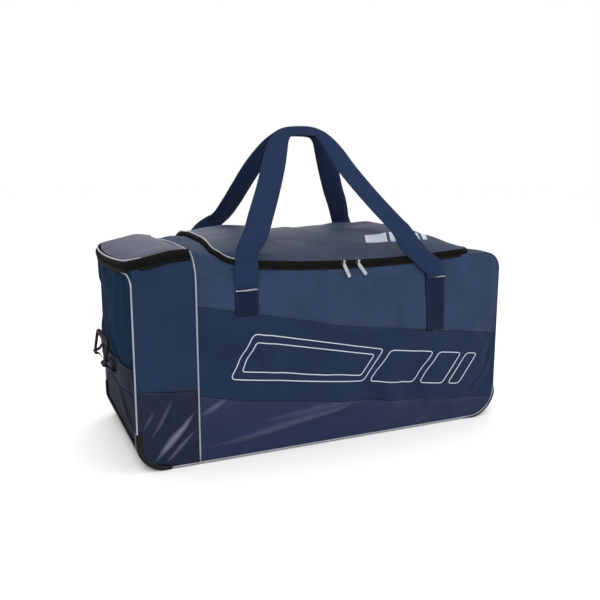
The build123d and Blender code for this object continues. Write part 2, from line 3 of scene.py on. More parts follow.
import bmesh
import bpy
import numpy as np
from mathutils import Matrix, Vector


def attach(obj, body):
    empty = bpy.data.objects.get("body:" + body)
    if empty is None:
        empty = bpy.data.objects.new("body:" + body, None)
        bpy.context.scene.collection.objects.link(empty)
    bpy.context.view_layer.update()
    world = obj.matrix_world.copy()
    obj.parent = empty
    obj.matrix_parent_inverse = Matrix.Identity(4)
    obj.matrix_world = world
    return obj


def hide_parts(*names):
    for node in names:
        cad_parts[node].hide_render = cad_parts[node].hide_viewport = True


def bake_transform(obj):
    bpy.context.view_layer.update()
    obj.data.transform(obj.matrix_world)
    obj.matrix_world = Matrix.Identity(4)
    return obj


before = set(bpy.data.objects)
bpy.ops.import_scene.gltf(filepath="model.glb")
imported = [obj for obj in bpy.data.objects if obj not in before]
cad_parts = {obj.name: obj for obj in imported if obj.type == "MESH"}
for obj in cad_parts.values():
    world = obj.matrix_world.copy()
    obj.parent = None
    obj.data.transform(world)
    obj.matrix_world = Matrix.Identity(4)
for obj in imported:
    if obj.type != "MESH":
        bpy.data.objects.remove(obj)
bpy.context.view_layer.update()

# Studio: a pale floor that runs on as the backdrop, one broad light over the front of the bag, a fill
# from the wheel end and a strip behind for the edges. The camera stands low, off the pocket end.
LENS, TILT, HEADING = 40.9596, 10.16, 24.09
scene = bpy.context.scene
scene.view_settings.view_transform = "Standard"
floor_mesh = bpy.data.meshes.new("studio_floor")
floor_mesh.from_pydata([(-30, -30, 0), (30, -30, 0), (30, 30, 0), (-30, 30, 0)], [], [(0, 1, 2, 3)])
studio_floor = bpy.data.objects.new("studio_floor", floor_mesh)
scene.collection.objects.link(studio_floor)
floor_finish = bpy.data.materials.new("pale_floor")
floor_finish.use_nodes = True
floor_shader = floor_finish.node_tree.nodes["Principled BSDF"]
floor_shader.inputs["Base Color"].default_value = (1.0, 1.0, 1.0, 1)
floor_shader.inputs["Roughness"].default_value = 0.9
floor_mesh.materials.append(floor_finish)

world = bpy.data.worlds.new("studio")
world.use_nodes = True
world.node_tree.nodes["Background"].inputs["Color"].default_value = (1, 1, 1, 1)
world.node_tree.nodes["Background"].inputs["Strength"].default_value = 1.0
scene.world = world
for name, place, aim, size, power in (
    ("key_light", (-1.2, -2.6, 2.6), (0, 0, 0.2), 1.5, 52),
    ("fill_light", (2.6, -1.6, 1.3), (0.1, 0, 0.2), 1.6, 13),
    ("edge_light", (0.4, 2.4, 1.9), (0, 0, 0.35), 1.4, 14),
):
    lamp = bpy.data.lights.new(name, "AREA")
    lamp.shape = "SQUARE"
    lamp.size = size
    lamp.energy = power
    light = bpy.data.objects.new(name, lamp)
    light.location = place
    light.rotation_euler = (Vector(aim) - Vector(place)).to_track_quat("-Z", "Y").to_euler()
    scene.collection.objects.link(light)

camera_data = bpy.data.cameras.new("camera")
camera_data.sensor_width = 36
camera_data.lens = LENS
camera = bpy.data.objects.new("camera", camera_data)
camera.location = (-0.6406, -1.4345, 0.5593)
camera.rotation_euler = (radians(90 - TILT), 0, radians(-HEADING))
scene.collection.objects.link(camera)
scene.camera = camera


# Side panels: the front and the back are each sewn from four cuts of cloth. The three upper ones are a
# navy Oxford weave, and the lowest is coated tarpaulin that takes the knocks. They hang between their
# seams with a little slack, so each is a sheet that stands out and ripples between the seam lines.
X0, X1, XP = -0.42, 0.42, -0.30  # pocket end, wheel end, partition
HALF = 0.19  # half the bag's depth
WALL = 0.003
BASE = 0.004
LEFT_CORNER, RIGHT_CORNER, SHOULDER = 0.055, 0.065, 0.038
ARCH = 0.055  # round of the partition's top corners
ARCH_TOP = 0.4205
POCKET_RIM, RIM_SLOPE, RIM_LEVEL = 0.392, 0.2167, 0.408  # the pocket's mouth: height, slope, where it levels off
WHEEL_RIM = 0.390
SIDE_HIGH = 0.39
STRAP_X = -0.20  # the left straps, which hide the join in the upper cloth
LOWER_SEAM = ((-0.30, 0.141), (-0.195, 0.118), (0.02, 0.088), (0.297, 0.056), (0.42, 0.045))
UPPER_SEAM = ((-0.30, 0.318), (0.01, 0.254), (0.42, 0.200))
POCKET_SEAM = ((-0.42, 0.165), (-0.30, 0.153))


def skin(name, rows, inside, loop=False):
    """A surface through a grid of points, four neighbours to a face, with its own lengths in metres as its
    UV map. It faces away from the point inside. loop joins each row's last point to its first."""
    count, across = rows.shape[:2]
    wide = np.concatenate([rows, rows[:, :1]], 1) if loop else rows
    along_u = np.linalg.norm(np.diff(wide, axis=1), axis=2).mean(0)
    along_v = np.linalg.norm(np.diff(rows, axis=0), axis=2).mean(1)
    u = np.concatenate([[0], np.cumsum(along_u)])
    v = np.concatenate([[0], np.cumsum(along_v)])
    grid_u, grid_v = np.meshgrid(u, v)
    index = np.arange(count * across).reshape(count, across)
    index = np.concatenate([index, index[:, :1]], 1) if loop else index
    corners = [(slice(0, -1), slice(0, -1)), (slice(0, -1), slice(1, None)),
               (slice(1, None), slice(1, None)), (slice(1, None), slice(0, -1))]
    faces = np.stack([index[c].ravel() for c in corners], -1)
    uv = np.stack([np.stack([grid_u[c].ravel(), grid_v[c].ravel()], -1) for c in corners], 1)
    points = rows.reshape(-1, 3)
    a, b, c, d = (points[faces[:, i]] for i in range(4))
    normal = np.cross(c - a, d - b)
    if (normal * ((a + c) / 2 - np.array(inside))).sum() < 0:
        faces, uv = faces[:, ::-1], uv[:, ::-1]
    mesh = bpy.data.meshes.new(name)
    mesh.from_pydata(points.tolist(), [], faces.tolist())
    mesh.uv_layers.new(name="cloth").data.foreach_set("uv", uv.reshape(-1))
    mesh.polygons.foreach_set("use_smooth", np.ones(len(faces), bool))
    obj = bpy.data.objects.new(name, mesh)
    scene.collection.objects.link(obj)
    return obj


def thicken(obj, wall, offset=-1.0):
    """Give a skin its wall, on its inner side."""
    solid = obj.modifiers.new("wall", "SOLIDIFY")
    solid.thickness = wall
    solid.offset = offset
    return obj


def place(obj, finish, slot, body, *nodes):
    """The piece's finish, its slot (not used), the body it rides on, and the CAD nodes it stands for."""
    obj.data.materials.append(finish)
    if nodes:
        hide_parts(*nodes)
    if body:
        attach(obj, body)
    return obj


def ripple(u, v, wave, seed):
    """Smooth hills of about one wavelength, between -1 and 1: sines in eleven directions, added up."""
    draw = np.random.RandomState(seed)
    total = 0
    for turn, phase, scale in zip(draw.rand(11) * pi, draw.rand(11) * 2 * pi, 0.6 + draw.rand(11)):
        total = total + np.sin((u * cos(turn) + v * sin(turn)) * 2 * pi / (wave * scale) + phase)
    return total / 5.5


def slack_cloth(width, height, step, slack, seed):
    """How far a cloth stands off the frame that it is sewn to, as rows of offsets in metres. The cloth is
    cut too large for the frame by the share slack, and a simulation lets it buckle between its seams."""
    across, up = int(width / step) + 1, int(height / step) + 1
    u, v = np.meshgrid(np.linspace(0, width, across), np.linspace(0, height, up))
    faint = ripple(u, v, 0.12, seed) * 0.0015
    hung = skin("slack_cloth", np.stack([u, v, faint], -1), (width / 2, height / 2, -1))
    edge = np.zeros((up, across), bool)
    edge[[0, -1]] = True
    edge[:, [0, -1]] = True
    hung.vertex_groups.new(name="seam").add(np.flatnonzero(edge).tolist(), 1, "REPLACE")
    settings = hung.modifiers.new("cloth", "CLOTH").settings
    settings.quality = 4
    settings.mass = 0.2
    settings.bending_stiffness = 3
    settings.vertex_group_mass = "seam"
    settings.shrink_min = -slack
    settings.effector_weights.gravity = 0
    for number in range(1, 19):
        scene.frame_set(number)
    settled = np.empty(up * across * 3)
    hung.evaluated_get(bpy.context.evaluated_depsgraph_get()).data.vertices.foreach_get("co", settled)
    bpy.data.objects.remove(hung)
    scene.frame_set(1)
    return settled.reshape(up, across, 3)[..., 2]


def reading(field, u, v):
    """A field of offsets read at shares u across and v up, straight between its points."""
    up, across = field.shape
    a, b = np.clip(u, 0, 1) * (across - 1), np.clip(v, 0, 1) * (up - 1)
    i, j = np.minimum(a.astype(int), across - 2), np.minimum(b.astype(int), up - 2)
    s, t = a - i, b - j
    low = field[j, i] * (1 - s) + field[j, i + 1] * s
    high = field[j + 1, i] * (1 - s) + field[j + 1, i + 1] * s
    return low * (1 - t) + high * t


def fold(x, z, start, end, width, height):
    """A soft crease: a ridge along the line from start to end that dies out at both ends."""
    run = np.array(end) - np.array(start)
    length = hypot(*run)
    along = ((x - start[0]) * run[0] + (z - start[1]) * run[1]) / length ** 2
    off = ((x - start[0]) * run[1] - (z - start[1]) * run[0]) / length
    return height * np.exp(-(off / width) ** 2) * np.sin(pi * np.clip(along, 0, 1)) ** 0.7


SEAM_PULL = 0.0022
BELLY = (0.006, 0.0075)  # the pocket's side, the main side
SLACK_MOST = 0.0045
SLACK = {way: (slack_cloth(0.72, 0.39, 0.0085, 0.016, seed), slack_cloth(0.12, 0.40, 0.008, 0.02, seed + 1))
         for way, seed in ((-1, 3), (1, 8))}
TARP_FOLDS = (  # start, end, half width, height
    ((-0.30, 0.035), (0.06, 0.088), 0.010, 0.0055),
    ((-0.24, 0.020), (0.13, 0.075), 0.012, -0.0045),
    ((-0.12, 0.075), (0.20, 0.062), 0.012, 0.0030),
    ((-0.408, 0.030), (-0.318, 0.150), 0.0055, 0.0060),
    ((-0.404, 0.062), (-0.350, 0.152), 0.0045, 0.0042),
    ((-0.392, 0.014), (-0.303, 0.105), 0.0060, 0.0052),
    ((-0.370, 0.008), (-0.303, 0.060), 0.0055, 0.0040),
    ((-0.400, 0.045), (-0.330, 0.145), 0.0050, -0.0040),
    ((0.355, 0.055), (0.415, 0.15), 0.006, 0.0040),
    ((0.335, 0.05), (0.405, 0.12), 0.005, 0.0028),
    ((0.37, 0.07), (0.418, 0.21), 0.008, -0.0026),
)


def seam_gap(x, z):
    """How far a point of a side panel is from the nearest of its slanting seams."""
    lower = np.abs(z - np.interp(x, *zip(*LOWER_SEAM)))
    upper = np.abs(z - np.interp(x, *zip(*UPPER_SEAM)))
    pocket = np.abs(z - np.interp(x, *zip(*POCKET_SEAM)))
    return np.where(x < XP, pocket, np.minimum(lower, upper))


def relief(way, x, z):
    """How far the side cloth stands out of the flat: a broad belly, the slack cloth's own ripples and a
    few folds in the tarpaulin, all drawn in along the seams, the partition, the rim and the edges."""
    in_pocket = x < XP
    u = np.where(in_pocket, (x - X0) / (XP - X0), (x - XP) / (X1 - XP))
    v = z / SIDE_HIGH
    belly = np.where(in_pocket, *BELLY)
    belly = belly * np.sin(pi * np.clip(u, 0, 1)) ** 0.6 * np.sin(pi * np.clip(v, 0, 1)) ** 0.7
    main, pocket = SLACK[way]
    slack = np.where(in_pocket, reading(pocket, u, v), reading(main, u, v))
    slack = SLACK_MOST * np.tanh(1.3 * slack / SLACK_MOST)
    folds = sum(fold(x, z, *line) for line in TARP_FOLDS)
    edge = np.minimum(np.minimum(u, 1 - u) * np.where(in_pocket, XP - X0, X1 - XP), z - BASE)
    held_edge = 1 - np.exp(-np.clip(edge, 0, 1) / 0.012)
    held = held_edge * (1 - np.exp(-(np.clip(rim_line(x) - z, 0, 1) / 0.02) ** 2))
    drawn_in = SEAM_PULL * np.exp(-(seam_gap(x, z) / 0.004) ** 2)
    return (belly + slack + folds - drawn_in) * held


def foot_line(x):
    """The lower edge of the side panels: the base, and the round corners at both ends."""
    left = np.clip(X0 + LEFT_CORNER - x, 0, LEFT_CORNER)
    right = np.clip(x - X1 + RIGHT_CORNER, 0, RIGHT_CORNER)
    left_rise = LEFT_CORNER - np.sqrt(LEFT_CORNER ** 2 - left ** 2)
    return BASE + left_rise + RIGHT_CORNER - np.sqrt(RIGHT_CORNER ** 2 - right ** 2)


def pocket_rim(x, _=0):
    """The pocket's mouth: it slopes up from the end and levels off before the partition."""
    return np.minimum(POCKET_RIM + RIM_SLOPE * (x - X0), RIM_LEVEL)


def rim_line(x):
    """The upper edge: the pocket's mouth, a slight sag along the zip, and the round shoulder."""
    zip_edge = np.minimum(0.382 + 0.013 * ((x - 0.05) / 0.27) ** 2, 0.394)
    zip_edge = np.where(x > 0.30, np.minimum(zip_edge, WHEEL_RIM), zip_edge)
    over = np.clip(x - X1 + SHOULDER, 0, SHOULDER)
    return np.where(x < XP, pocket_rim(x), zip_edge - SHOULDER + np.sqrt(SHOULDER ** 2 - over ** 2))


def lean_in(x, z):
    """How far the pocket's side leans in at its top as it nears the partition, to meet its round corner."""
    near = np.clip((x - XP) / 0.06 + 1, 0, 1) * (x <= XP)
    over = np.clip(z - ARCH_TOP + ARCH, 0, 0.9 * ARCH)
    return near ** 2 * (3 - 2 * near) * (ARCH - np.sqrt(ARCH ** 2 - over ** 2))


def side_panel(name, way, columns, low, high, rows):
    """One cut of side cloth: columns of points from the line low to the line high, stood out by relief."""
    share = np.linspace(0, 1, rows)[:, None]
    x = np.broadcast_to(columns, (rows, len(columns)))
    z = low(columns) * (1 - share) + high(columns) * share
    y = way * (HALF + relief(way, x, z) - lean_in(x, z))
    return thicken(skin(name, np.stack([x, y, z], -1), (0.05, 0, 0.2)), WALL)


def ends_close(low, high, count):
    """Stations from low to high that crowd towards both ends, where the corners are round."""
    return low + (high - low) * (1 - np.cos(np.linspace(0, pi, count))) / 2


class Value:
    """A number inside a material. Sums, differences and products of it add Math nodes."""

    def __init__(self, tree, socket):
        self.tree, self.socket = tree, socket

    def math(self, operation, other=None, swap=False):
        node = self.tree.nodes.new("ShaderNodeMath")
        node.operation = operation
        terms = [self] if other is None else ([other, self] if swap else [self, other])
        for slot, term in zip(node.inputs, terms):
            if isinstance(term, Value):
                self.tree.links.new(term.socket, slot)
            else:
                slot.default_value = term
        return Value(self.tree, node.outputs[0])

    def __add__(self, other): return self.math("ADD", other)
    def __radd__(self, other): return self.math("ADD", other, True)
    def __sub__(self, other): return self.math("SUBTRACT", other)
    def __rsub__(self, other): return self.math("SUBTRACT", other, True)
    def __mul__(self, other): return self.math("MULTIPLY", other)
    def __rmul__(self, other): return self.math("MULTIPLY", other, True)
    def sine(self): return self.math("SINE")
    def part(self): return self.math("FRACT")
    def size(self): return self.math("ABSOLUTE")
    def least(self, other): return self.math("MINIMUM", other)
    def most(self, other): return self.math("MAXIMUM", other)
    def share(self): return self.most(0.0).least(1.0)


class Finish:
    """A material being built: node adds any node, and give sets or links the shader's own sockets."""

    def __init__(self, name, **sockets):
        self.material = bpy.data.materials.new(name)
        self.material.use_nodes = True
        self.tree = self.material.node_tree
        self.shader = self.tree.nodes["Principled BSDF"]
        self.give(**sockets)

    def wire(self, socket, value):
        if isinstance(value, Value):
            self.tree.links.new(value.socket, socket)
        else:
            socket.default_value = value

    def node(self, kind, settings, sockets, out=0):
        made = self.tree.nodes.new("ShaderNode" + kind)
        for key, value in settings.items():
            setattr(made, key, value)
        for key, value in sockets.items():
            self.wire(made.inputs[key], value)
        return Value(self.tree, made.outputs[out])

    def give(self, **sockets):
        for key, value in sockets.items():
            self.wire(self.shader.inputs[key.replace("_", " ")], value)
        return self.material

    def cloth_map(self):
        """The piece's own lengths in metres, across and along."""
        return self.node("UVMap", {"uv_map": "cloth"}, {})

    def spot(self):
        return self.node("TexCoord", {}, {}, 3)

    def split(self, vector):
        return [self.node("SeparateXYZ", {}, {0: vector}, i) for i in range(3)]

    def noise(self, vector, scale, detail=3.0, rough=0.55):
        return self.node("TexNoise", {}, {"Vector": vector, "Scale": scale, "Detail": detail, "Roughness": rough})

    def blend(self, share, first, second):
        """One colour into another by a share."""
        return self.node("Mix", {"data_type": "RGBA"}, {0: share, 6: first, 7: second}, 2)

    def bump(self, height, distance, strength=1.0):
        return self.node("Bump", {}, {"Strength": strength, "Distance": distance, "Height": height})


def shade(colour, factor):
    """A colour made lighter or darker, as four numbers."""
    return tuple(min(c * factor, 1.0) for c in colour) + (1.0,)


def oxford(name, colour, thread=0.0011, sheen=0.04, gloss=0.16):
    """Plain-woven nylon: threads cross over and under, a shade lighter where they stand up, with the cloth's
    slight mottling and soft wear."""
    f = Finish(name, Sheen_Weight=sheen, Sheen_Roughness=0.4, Specular_IOR_Level=gloss)
    u, v, _ = f.split(f.cloth_map())
    warp, weft = (u * (2 * pi / thread)).sine(), (v * (2 * pi / thread)).sine()
    weave = warp * weft * 0.5 + 0.5
    spot = f.spot()
    mottle = f.noise(spot, 11.0, 4.0)
    slub = f.noise(spot, 160.0, 2.0)
    tone = (mottle - 0.5) * 1.1 + (weave - 0.5) * 0.35 + (slub - 0.5) * 0.5 + 0.5
    f.give(Base_Color=f.blend(tone.share(), shade(colour, 0.72), shade(colour, 1.3)),
           Roughness=0.86 - weave * 0.10,
           Normal=f.bump(weave * 0.7 + slub * 0.5, 0.00035, 0.8))
    return f.material


TARP_THREAD = 0.0016
# A painted highlight: the pale colour laid along the tarpaulin's creases where light would catch their ridges, then
# the lines that it is laid along.
HIGHLIGHT_PALE = (0.20, 0.215, 0.30, 1)
HIGHLIGHT_LINES = (  # start, end, half width, strength
    ((-0.392, 0.018), (-0.306, 0.112), 0.0085, 0.75),
    ((-0.398, 0.060), (-0.352, 0.150), 0.0060, 0.28),
    ((-0.372, 0.010), (-0.304, 0.076), 0.0055, 0.38),
    ((-0.412, 0.082), (-0.388, 0.128), 0.0050, 0.20),
    ((-0.300, 0.098), (-0.240, 0.133), 0.0075, 0.34),
    ((-0.295, 0.030), (0.070, 0.088), 0.0120, 0.26),
    ((-0.200, 0.070), (0.120, 0.098), 0.0100, 0.14),
    ((0.350, 0.040), (0.414, 0.105), 0.0060, 0.24),
)


def painted_crease_highlights(f, spot):
    """Painted highlights along the creases, where light would catch their ridges: a thin spindle of paleness about
    each line.
    """
    x, _, z = f.split(spot)
    total = None
    for (x0, z0), (x1, z1), wide, strength in HIGHLIGHT_LINES:
        length = hypot(x1 - x0, z1 - z0)
        ax, az = (x1 - x0) / length, (z1 - z0) / length
        share = ((x - x0) * ax + (z - z0) * az) * (2 / length) - 1.0
        off = ((x - x0) * az - (z - z0) * ax).size() * (1 / wide)
        spindle = (1.0 - share * share - off).most(0.0) * strength
        total = spindle if total is None else total.most(spindle)
    return total


def tarpaulin(name, colour, rough=0.36, coat=0.04, pale=(0.050, 0.062, 0.125), gloss=0.13):
    """Coated cloth: a smooth film over a coarse weave that shows through, duller where it has rubbed. On the pocket
    it carries painted shade where its cloth curves and folds, and along its creases painted highlights."""
    f = Finish(name, Specular_IOR_Level=gloss, Coat_Roughness=0.25)
    u, v, _ = f.split(f.cloth_map())
    weave = (u * (2 * pi / TARP_THREAD)).sine() * (v * (2 * pi / TARP_THREAD)).sine() * 0.5 + 0.5
    spot = f.spot()
    rub = f.noise(spot, 6.0, 5.0, 0.6)
    grain = f.noise(spot, 420.0, 2.0)
    # Painted shade: the tarpaulin on the pocket's side of the partition is blended towards a much deeper tone, for
    # the shade of its curved, folded cloth.
    painted_pocket_shade = ((XP - f.split(spot)[0]) * 400.0).share() * 0.64
    film = f.blend(((rub - 0.35) * 1.3).share(), shade(colour, 0.85), shade(pale, 0.40))
    film = f.blend(painted_pocket_shade, film, shade(colour, 0.2))
    # Painted highlights: paleness along the crease lines, broken up by noise.
    painted_highlight = painted_crease_highlights(f, spot) * (0.35 + f.noise(spot, 40.0, 3.0) * 0.9)
    f.give(Base_Color=f.blend(painted_highlight.least(1.0), film, HIGHLIGHT_PALE),
           Roughness=rub * 0.22 + (rough - 0.08) + grain * 0.05,
           Coat_Weight=coat * (1.0 - rub * 0.5),
           Normal=f.bump(weave * 0.35 + grain * 0.4 + f.noise(spot, 34.0, 3.0) * 1.6, 0.0005, 0.7))
    return f.material


NAVY = (0.0187, 0.0342, 0.0765)
BAND_NAVY = (0.0060, 0.0172, 0.0470)
POCKET_NAVY = (0.0078, 0.0205, 0.0530)
TARP_NAVY = (0.0098, 0.0190, 0.0620)
navy_oxford = oxford("navy_oxford", NAVY)
band_oxford = oxford("band_oxford", BAND_NAVY)
pocket_oxford = oxford("pocket_oxford", POCKET_NAVY)
navy_tarpaulin = tarpaulin("navy_tarpaulin", TARP_NAVY)
pocket_foot = lambda x: np.interp(x, *zip(*POCKET_SEAM))
lower_top = lambda x: np.where(x < XP, pocket_foot(x), np.interp(x, *zip(*LOWER_SEAM)))
band_foot = lambda x: np.maximum(np.interp(x, *zip(*LOWER_SEAM)), foot_line(x))
band_top = lambda x: np.interp(x, *zip(*UPPER_SEAM))
STITCHED = 0.0004  # how near to the partition's seam the tarpaulin's two parts come
TARP_RIGHT = 0.4163
TARP_STATIONS = np.concatenate([ends_close(X0, XP - STITCHED, 46), ends_close(XP + STITCHED, TARP_RIGHT, 150)])
for side, way in (("front", -1), ("back", 1)):
    for cut, node, columns, low, high, rows, finish, slot in (
        ("tarpaulin", "lower", TARP_STATIONS, foot_line, lower_top, 40, navy_tarpaulin, "coated_base"),
        ("band", "middle", ends_close(XP, X1, 170), band_foot, band_top, 46, band_oxford, "navy_band"),
        ("upper", "upper", ends_close(STRAP_X, X1, 150), band_top, rim_line, 46, navy_oxford, "navy_fabric"),
        ("pocket", "pocket", ends_close(X0, XP, 48), pocket_foot, rim_line, 60, pocket_oxford, "navy_fabric"),
    ):
        panel = side_panel(f"{side}_{cut}", way, columns, low, high, rows)
        place(panel, finish, slot, "shell", f"{side}_{node}_panel")


# Shoulders: the cloth runs on from the upper side panels over the top, between the partition and the
# zip, so one saddle of it is front, yoke and back in turn. The wheel end has a smaller one.
MOUTH_LEFT, MOUTH_RIGHT = -0.257, 0.351
MOUTH_FRONT, MOUTH_BACK = -0.1915, 0.180
MOUTH_ROUND = 0.052
LIFT = 0.036  # how much the zip rises at its left side, in the shares LIFT_SHARE at the depths LIFT_AT
LIFT_AT = (-0.19, -0.165, -0.11, -0.08, 0.02, 0.10, 0.15, 0.176)
LIFT_SHARE = (0, 0.42, 0.84, 0.97, 1.1, 1.0, 0.55, 0.15)


def turn(middle, start, end, radius, count):
    """Points on an arc, from one angle to another in degrees."""
    angle = np.radians(np.linspace(start, end, count))
    return np.stack([middle[0] + radius * np.cos(angle), middle[1] + radius * np.sin(angle)], -1)


def line(a, b, count):
    """Evenly spaced points from a to b."""
    return np.array(a) + (np.array(b) - np.array(a)) * np.linspace(0, 1, count)[:, None]


def arch(low):
    """The bag's section at the partition, as (y, z) from the front panel's seam over the top to the back's:
    up the front, round the corner, across with a slight crown, and down again."""
    inner = HALF - ARCH
    knee = ARCH_TOP - ARCH
    across = line((-inner, ARCH_TOP), (inner, ARCH_TOP), 42)
    across[:, 1] += 0.004 * np.cos(across[:, 0] / inner * pi / 2)
    half_up = [line((-HALF, low), (-HALF, knee), 14), turn((-inner, knee), 180, 90, ARCH, 26)]
    down = [turn((inner, knee), 90, 0, ARCH, 26), line((HALF, knee), (HALF, low), 14)]
    return np.concatenate(half_up + [across] + down)


def left_lift(x, y):
    """How much higher the zip and the lid's edge run at their left side, where they ride over the yoke."""
    side = np.clip((-0.08 - x) / 0.17, 0, 1)
    return LIFT * side * np.interp(y, LIFT_AT, LIFT_SHARE)


def mouth_left(low):
    """The saddle's other edge, as (x, y, z): up the front under the strap, along the zip round the lid's
    corners, and down the back, with as many points in each run as arch has."""
    corner_front = turn((MOUTH_LEFT + MOUTH_ROUND, MOUTH_FRONT + MOUTH_ROUND), 270, 180, MOUTH_ROUND, 26)
    corner_back = turn((MOUTH_LEFT + MOUTH_ROUND, MOUTH_BACK - MOUTH_ROUND), 180, 90, MOUTH_ROUND, 26)
    across = line((MOUTH_LEFT, MOUTH_FRONT + MOUTH_ROUND), (MOUTH_LEFT, MOUTH_BACK - MOUTH_ROUND), 42)
    rim = float(rim_line(np.array(STRAP_X)))
    plan = np.concatenate([corner_front, across, corner_back])
    top = np.concatenate([plan, np.full((len(plan), 1), rim)], 1)
    top[:, 2] += left_lift(top[:, 0], top[:, 1])
    front = line((STRAP_X, -HALF, low), (STRAP_X, -HALF, rim), 14)
    back = line((STRAP_X, MOUTH_BACK, rim), (STRAP_X, HALF, low), 14)
    return np.concatenate([front, top, back])


near = arch(float(band_top(np.array(XP))))
near = np.stack([np.full(len(near), XP), *near.T], -1)
far = mouth_left(float(band_top(np.array(STRAP_X))))
share = np.linspace(0, 1, 34)[:, None, None]
saddle = near * (1 - share) + far * share
across = share * (1 - share) * 4
top_part = np.clip((saddle[..., 2:] - 0.385) / 0.03, 0, 1)
saddle[..., 2:] += top_part * across * (0.0035 + 0.0022 * ripple(saddle[..., :1], saddle[..., 1:2], 0.10, 21))
flat_part = 1 - np.clip((saddle[..., 2] - 0.345) / 0.035, 0, 1)
for way in (-1, 1):
    on_side = (np.abs(saddle[..., 1] - way * HALF) < 0.012) * flat_part
    saddle[..., 1] += way * on_side * relief(way, saddle[..., 0], saddle[..., 2])
shoulder = thicken(skin("pocket_shoulder", saddle, (-0.25, 0, 0.25)), WALL)
place(shoulder, navy_oxford, "navy_fabric", "shell", "left_yoke_panel")


def wheel_shoulder():
    """The strip over the wheel end: from the zip round the lid's corner, level, then over the round
    shoulder. Each row lies across the bag at one depth."""
    y = ends_close(-HALF + 0.0015, HALF - 0.0015, 70)
    off_middle = np.abs(y - (MOUTH_FRONT + MOUTH_BACK) / 2)
    into = np.clip(off_middle - (MOUTH_BACK - MOUTH_FRONT) / 2 + MOUTH_ROUND, 0, MOUTH_ROUND)
    start = MOUTH_RIGHT - MOUTH_ROUND + np.sqrt(MOUTH_ROUND ** 2 - into ** 2)
    share = np.linspace(0, 1, 40)[:, None]
    level = np.clip(share / 0.5, 0, 1)
    bend = np.clip((share - 0.5) / 0.5, 0, 1) * pi / 2
    x = start + (X1 - SHOULDER - start) * level + SHOULDER * np.sin(bend)
    z = WHEEL_RIM - SHOULDER * (1 - np.cos(bend)) + 0.0025 * ripple(x, y, 0.11, 31) * level * (1 - bend / pi)
    z += 0.004 * np.cos(y / HALF * pi / 2) * (1 - bend / pi)
    return np.stack([x, np.broadcast_to(y, x.shape), z], -1)


right_yoke = thicken(skin("wheel_shoulder", wheel_shoulder(), (0.3, 0, 0.25)), WALL)
place(right_yoke, navy_oxford, "navy_fabric", "shell", "right_yoke_panel")


# Pocket end: tarpaulin from the base up to a webbing band, and over it a foam-padded navy panel that
# stands proud of its seams, fullest across the middle. Its top follows the pocket's sloping rim.
END_BULGE = 0.020
END_SEAM = 0.150
BAND_FOOT, BAND_TOP = 0.158, 0.206
END_HALF = HALF - 0.0005
END_WIDE = 0.374
END_SLACK = slack_cloth(END_WIDE, 0.24, 0.007, 0.02, 12)
END_RIPPLE = 0.0028


def end_bulge(y, z):
    """How far the end stands out: an even bow across, none at the floor and full above the band."""
    bow = (1 - np.clip(np.abs(y) / END_HALF, 0, 1) ** 2.2) ** 0.85
    rise = np.interp(z, (0.03, 0.075, 0.11, 0.15, 0.20, 0.30, 0.40), (0.0, 0.10, 0.42, 0.83, 0.98, 1.0, 0.97))
    return END_BULGE * bow * rise


def end_wall(y, z, out=0.0):
    """Points of the pocket end at y and z, out metres further out than the cloth."""
    slack = reading(END_SLACK, y / END_WIDE + 0.5, (z - END_SEAM) / 0.24)
    ripples = END_RIPPLE * np.tanh(slack / END_RIPPLE)
    upright = 0.0007 * np.sin(y * 2 * pi / 0.062 + 1.1 * np.sin(z * 16)) * np.clip((z - 0.21) / 0.05, 0, 1)
    held = np.clip(1 - (np.abs(y) / END_HALF) ** 8, 0, 1)
    return np.stack([X0 - end_bulge(y, z) - (ripples * (z > END_SEAM) + upright) * held - out, y, z], -1)


y, share = np.meshgrid(ends_close(-END_HALF, END_HALF, 90), np.linspace(0, 1, 70))
rim_at = lambda y: POCKET_RIM - RIM_SLOPE * end_bulge(y, 0.39)
padded_end = skin("padded_end", end_wall(y, END_SEAM + (rim_at(y) - END_SEAM) * share), (0, 0, 0.25))
thicken(padded_end, WALL)
end_oxford = oxford("end_oxford", (0.0030, 0.0150, 0.0375), 0.0011, 0.0, 0.03)
place(padded_end, end_oxford, "navy_fabric", "shell", "left_end_upper_panel")


def round_foot(low, high, corner, x_end, way, count):
    """The line down an end and under it, as (x, z): straight to the corner, round it, along the base."""
    side = line((x_end, high), (x_end, BASE + corner), count)
    middle = (x_end - way * corner, BASE + corner)
    angles = (180, 270) if way < 0 else (0, -90)
    return np.concatenate([side, turn(middle, *angles, corner, 24)[1:], line((middle[0], BASE), (low, BASE), 6)[1:]])


drop = round_foot(-0.36, END_SEAM + 0.012, LEFT_CORNER, X0, -1, 40)
y, x = np.meshgrid(ends_close(-END_HALF, END_HALF, 90), drop[:, 0])
z = np.broadcast_to(drop[:, 1:], y.shape)
tarp_ripple = 0.0025 * ripple(y, z, 0.12, 44) * np.clip((z - 0.05) / 0.04, 0, 1) * (1 - (np.abs(y) / END_HALF) ** 4)
creases = sum(fold(y, z, (s * 0.16, 0.06), (s * 0.05, 0.15), 0.008, 0.003) for s in (-1, 1))
x = x - end_bulge(y, z) * (z > 0.03) - tarp_ripple - creases + 0.0008
end_tarp = skin("end_tarpaulin", np.stack([x, y, z], -1), (0, 0, 0.2))
end_tarpaulin = tarpaulin("end_tarpaulin", (0.0110, 0.0160, 0.0440), 0.6, 0.0, (0.020, 0.024, 0.050), 0.03)
place(thicken(end_tarp, WALL), end_tarpaulin, "coated_base", "shell", "left_end_lower_panel")


ZIGZAG = 0.0062
RIB = 0.0023


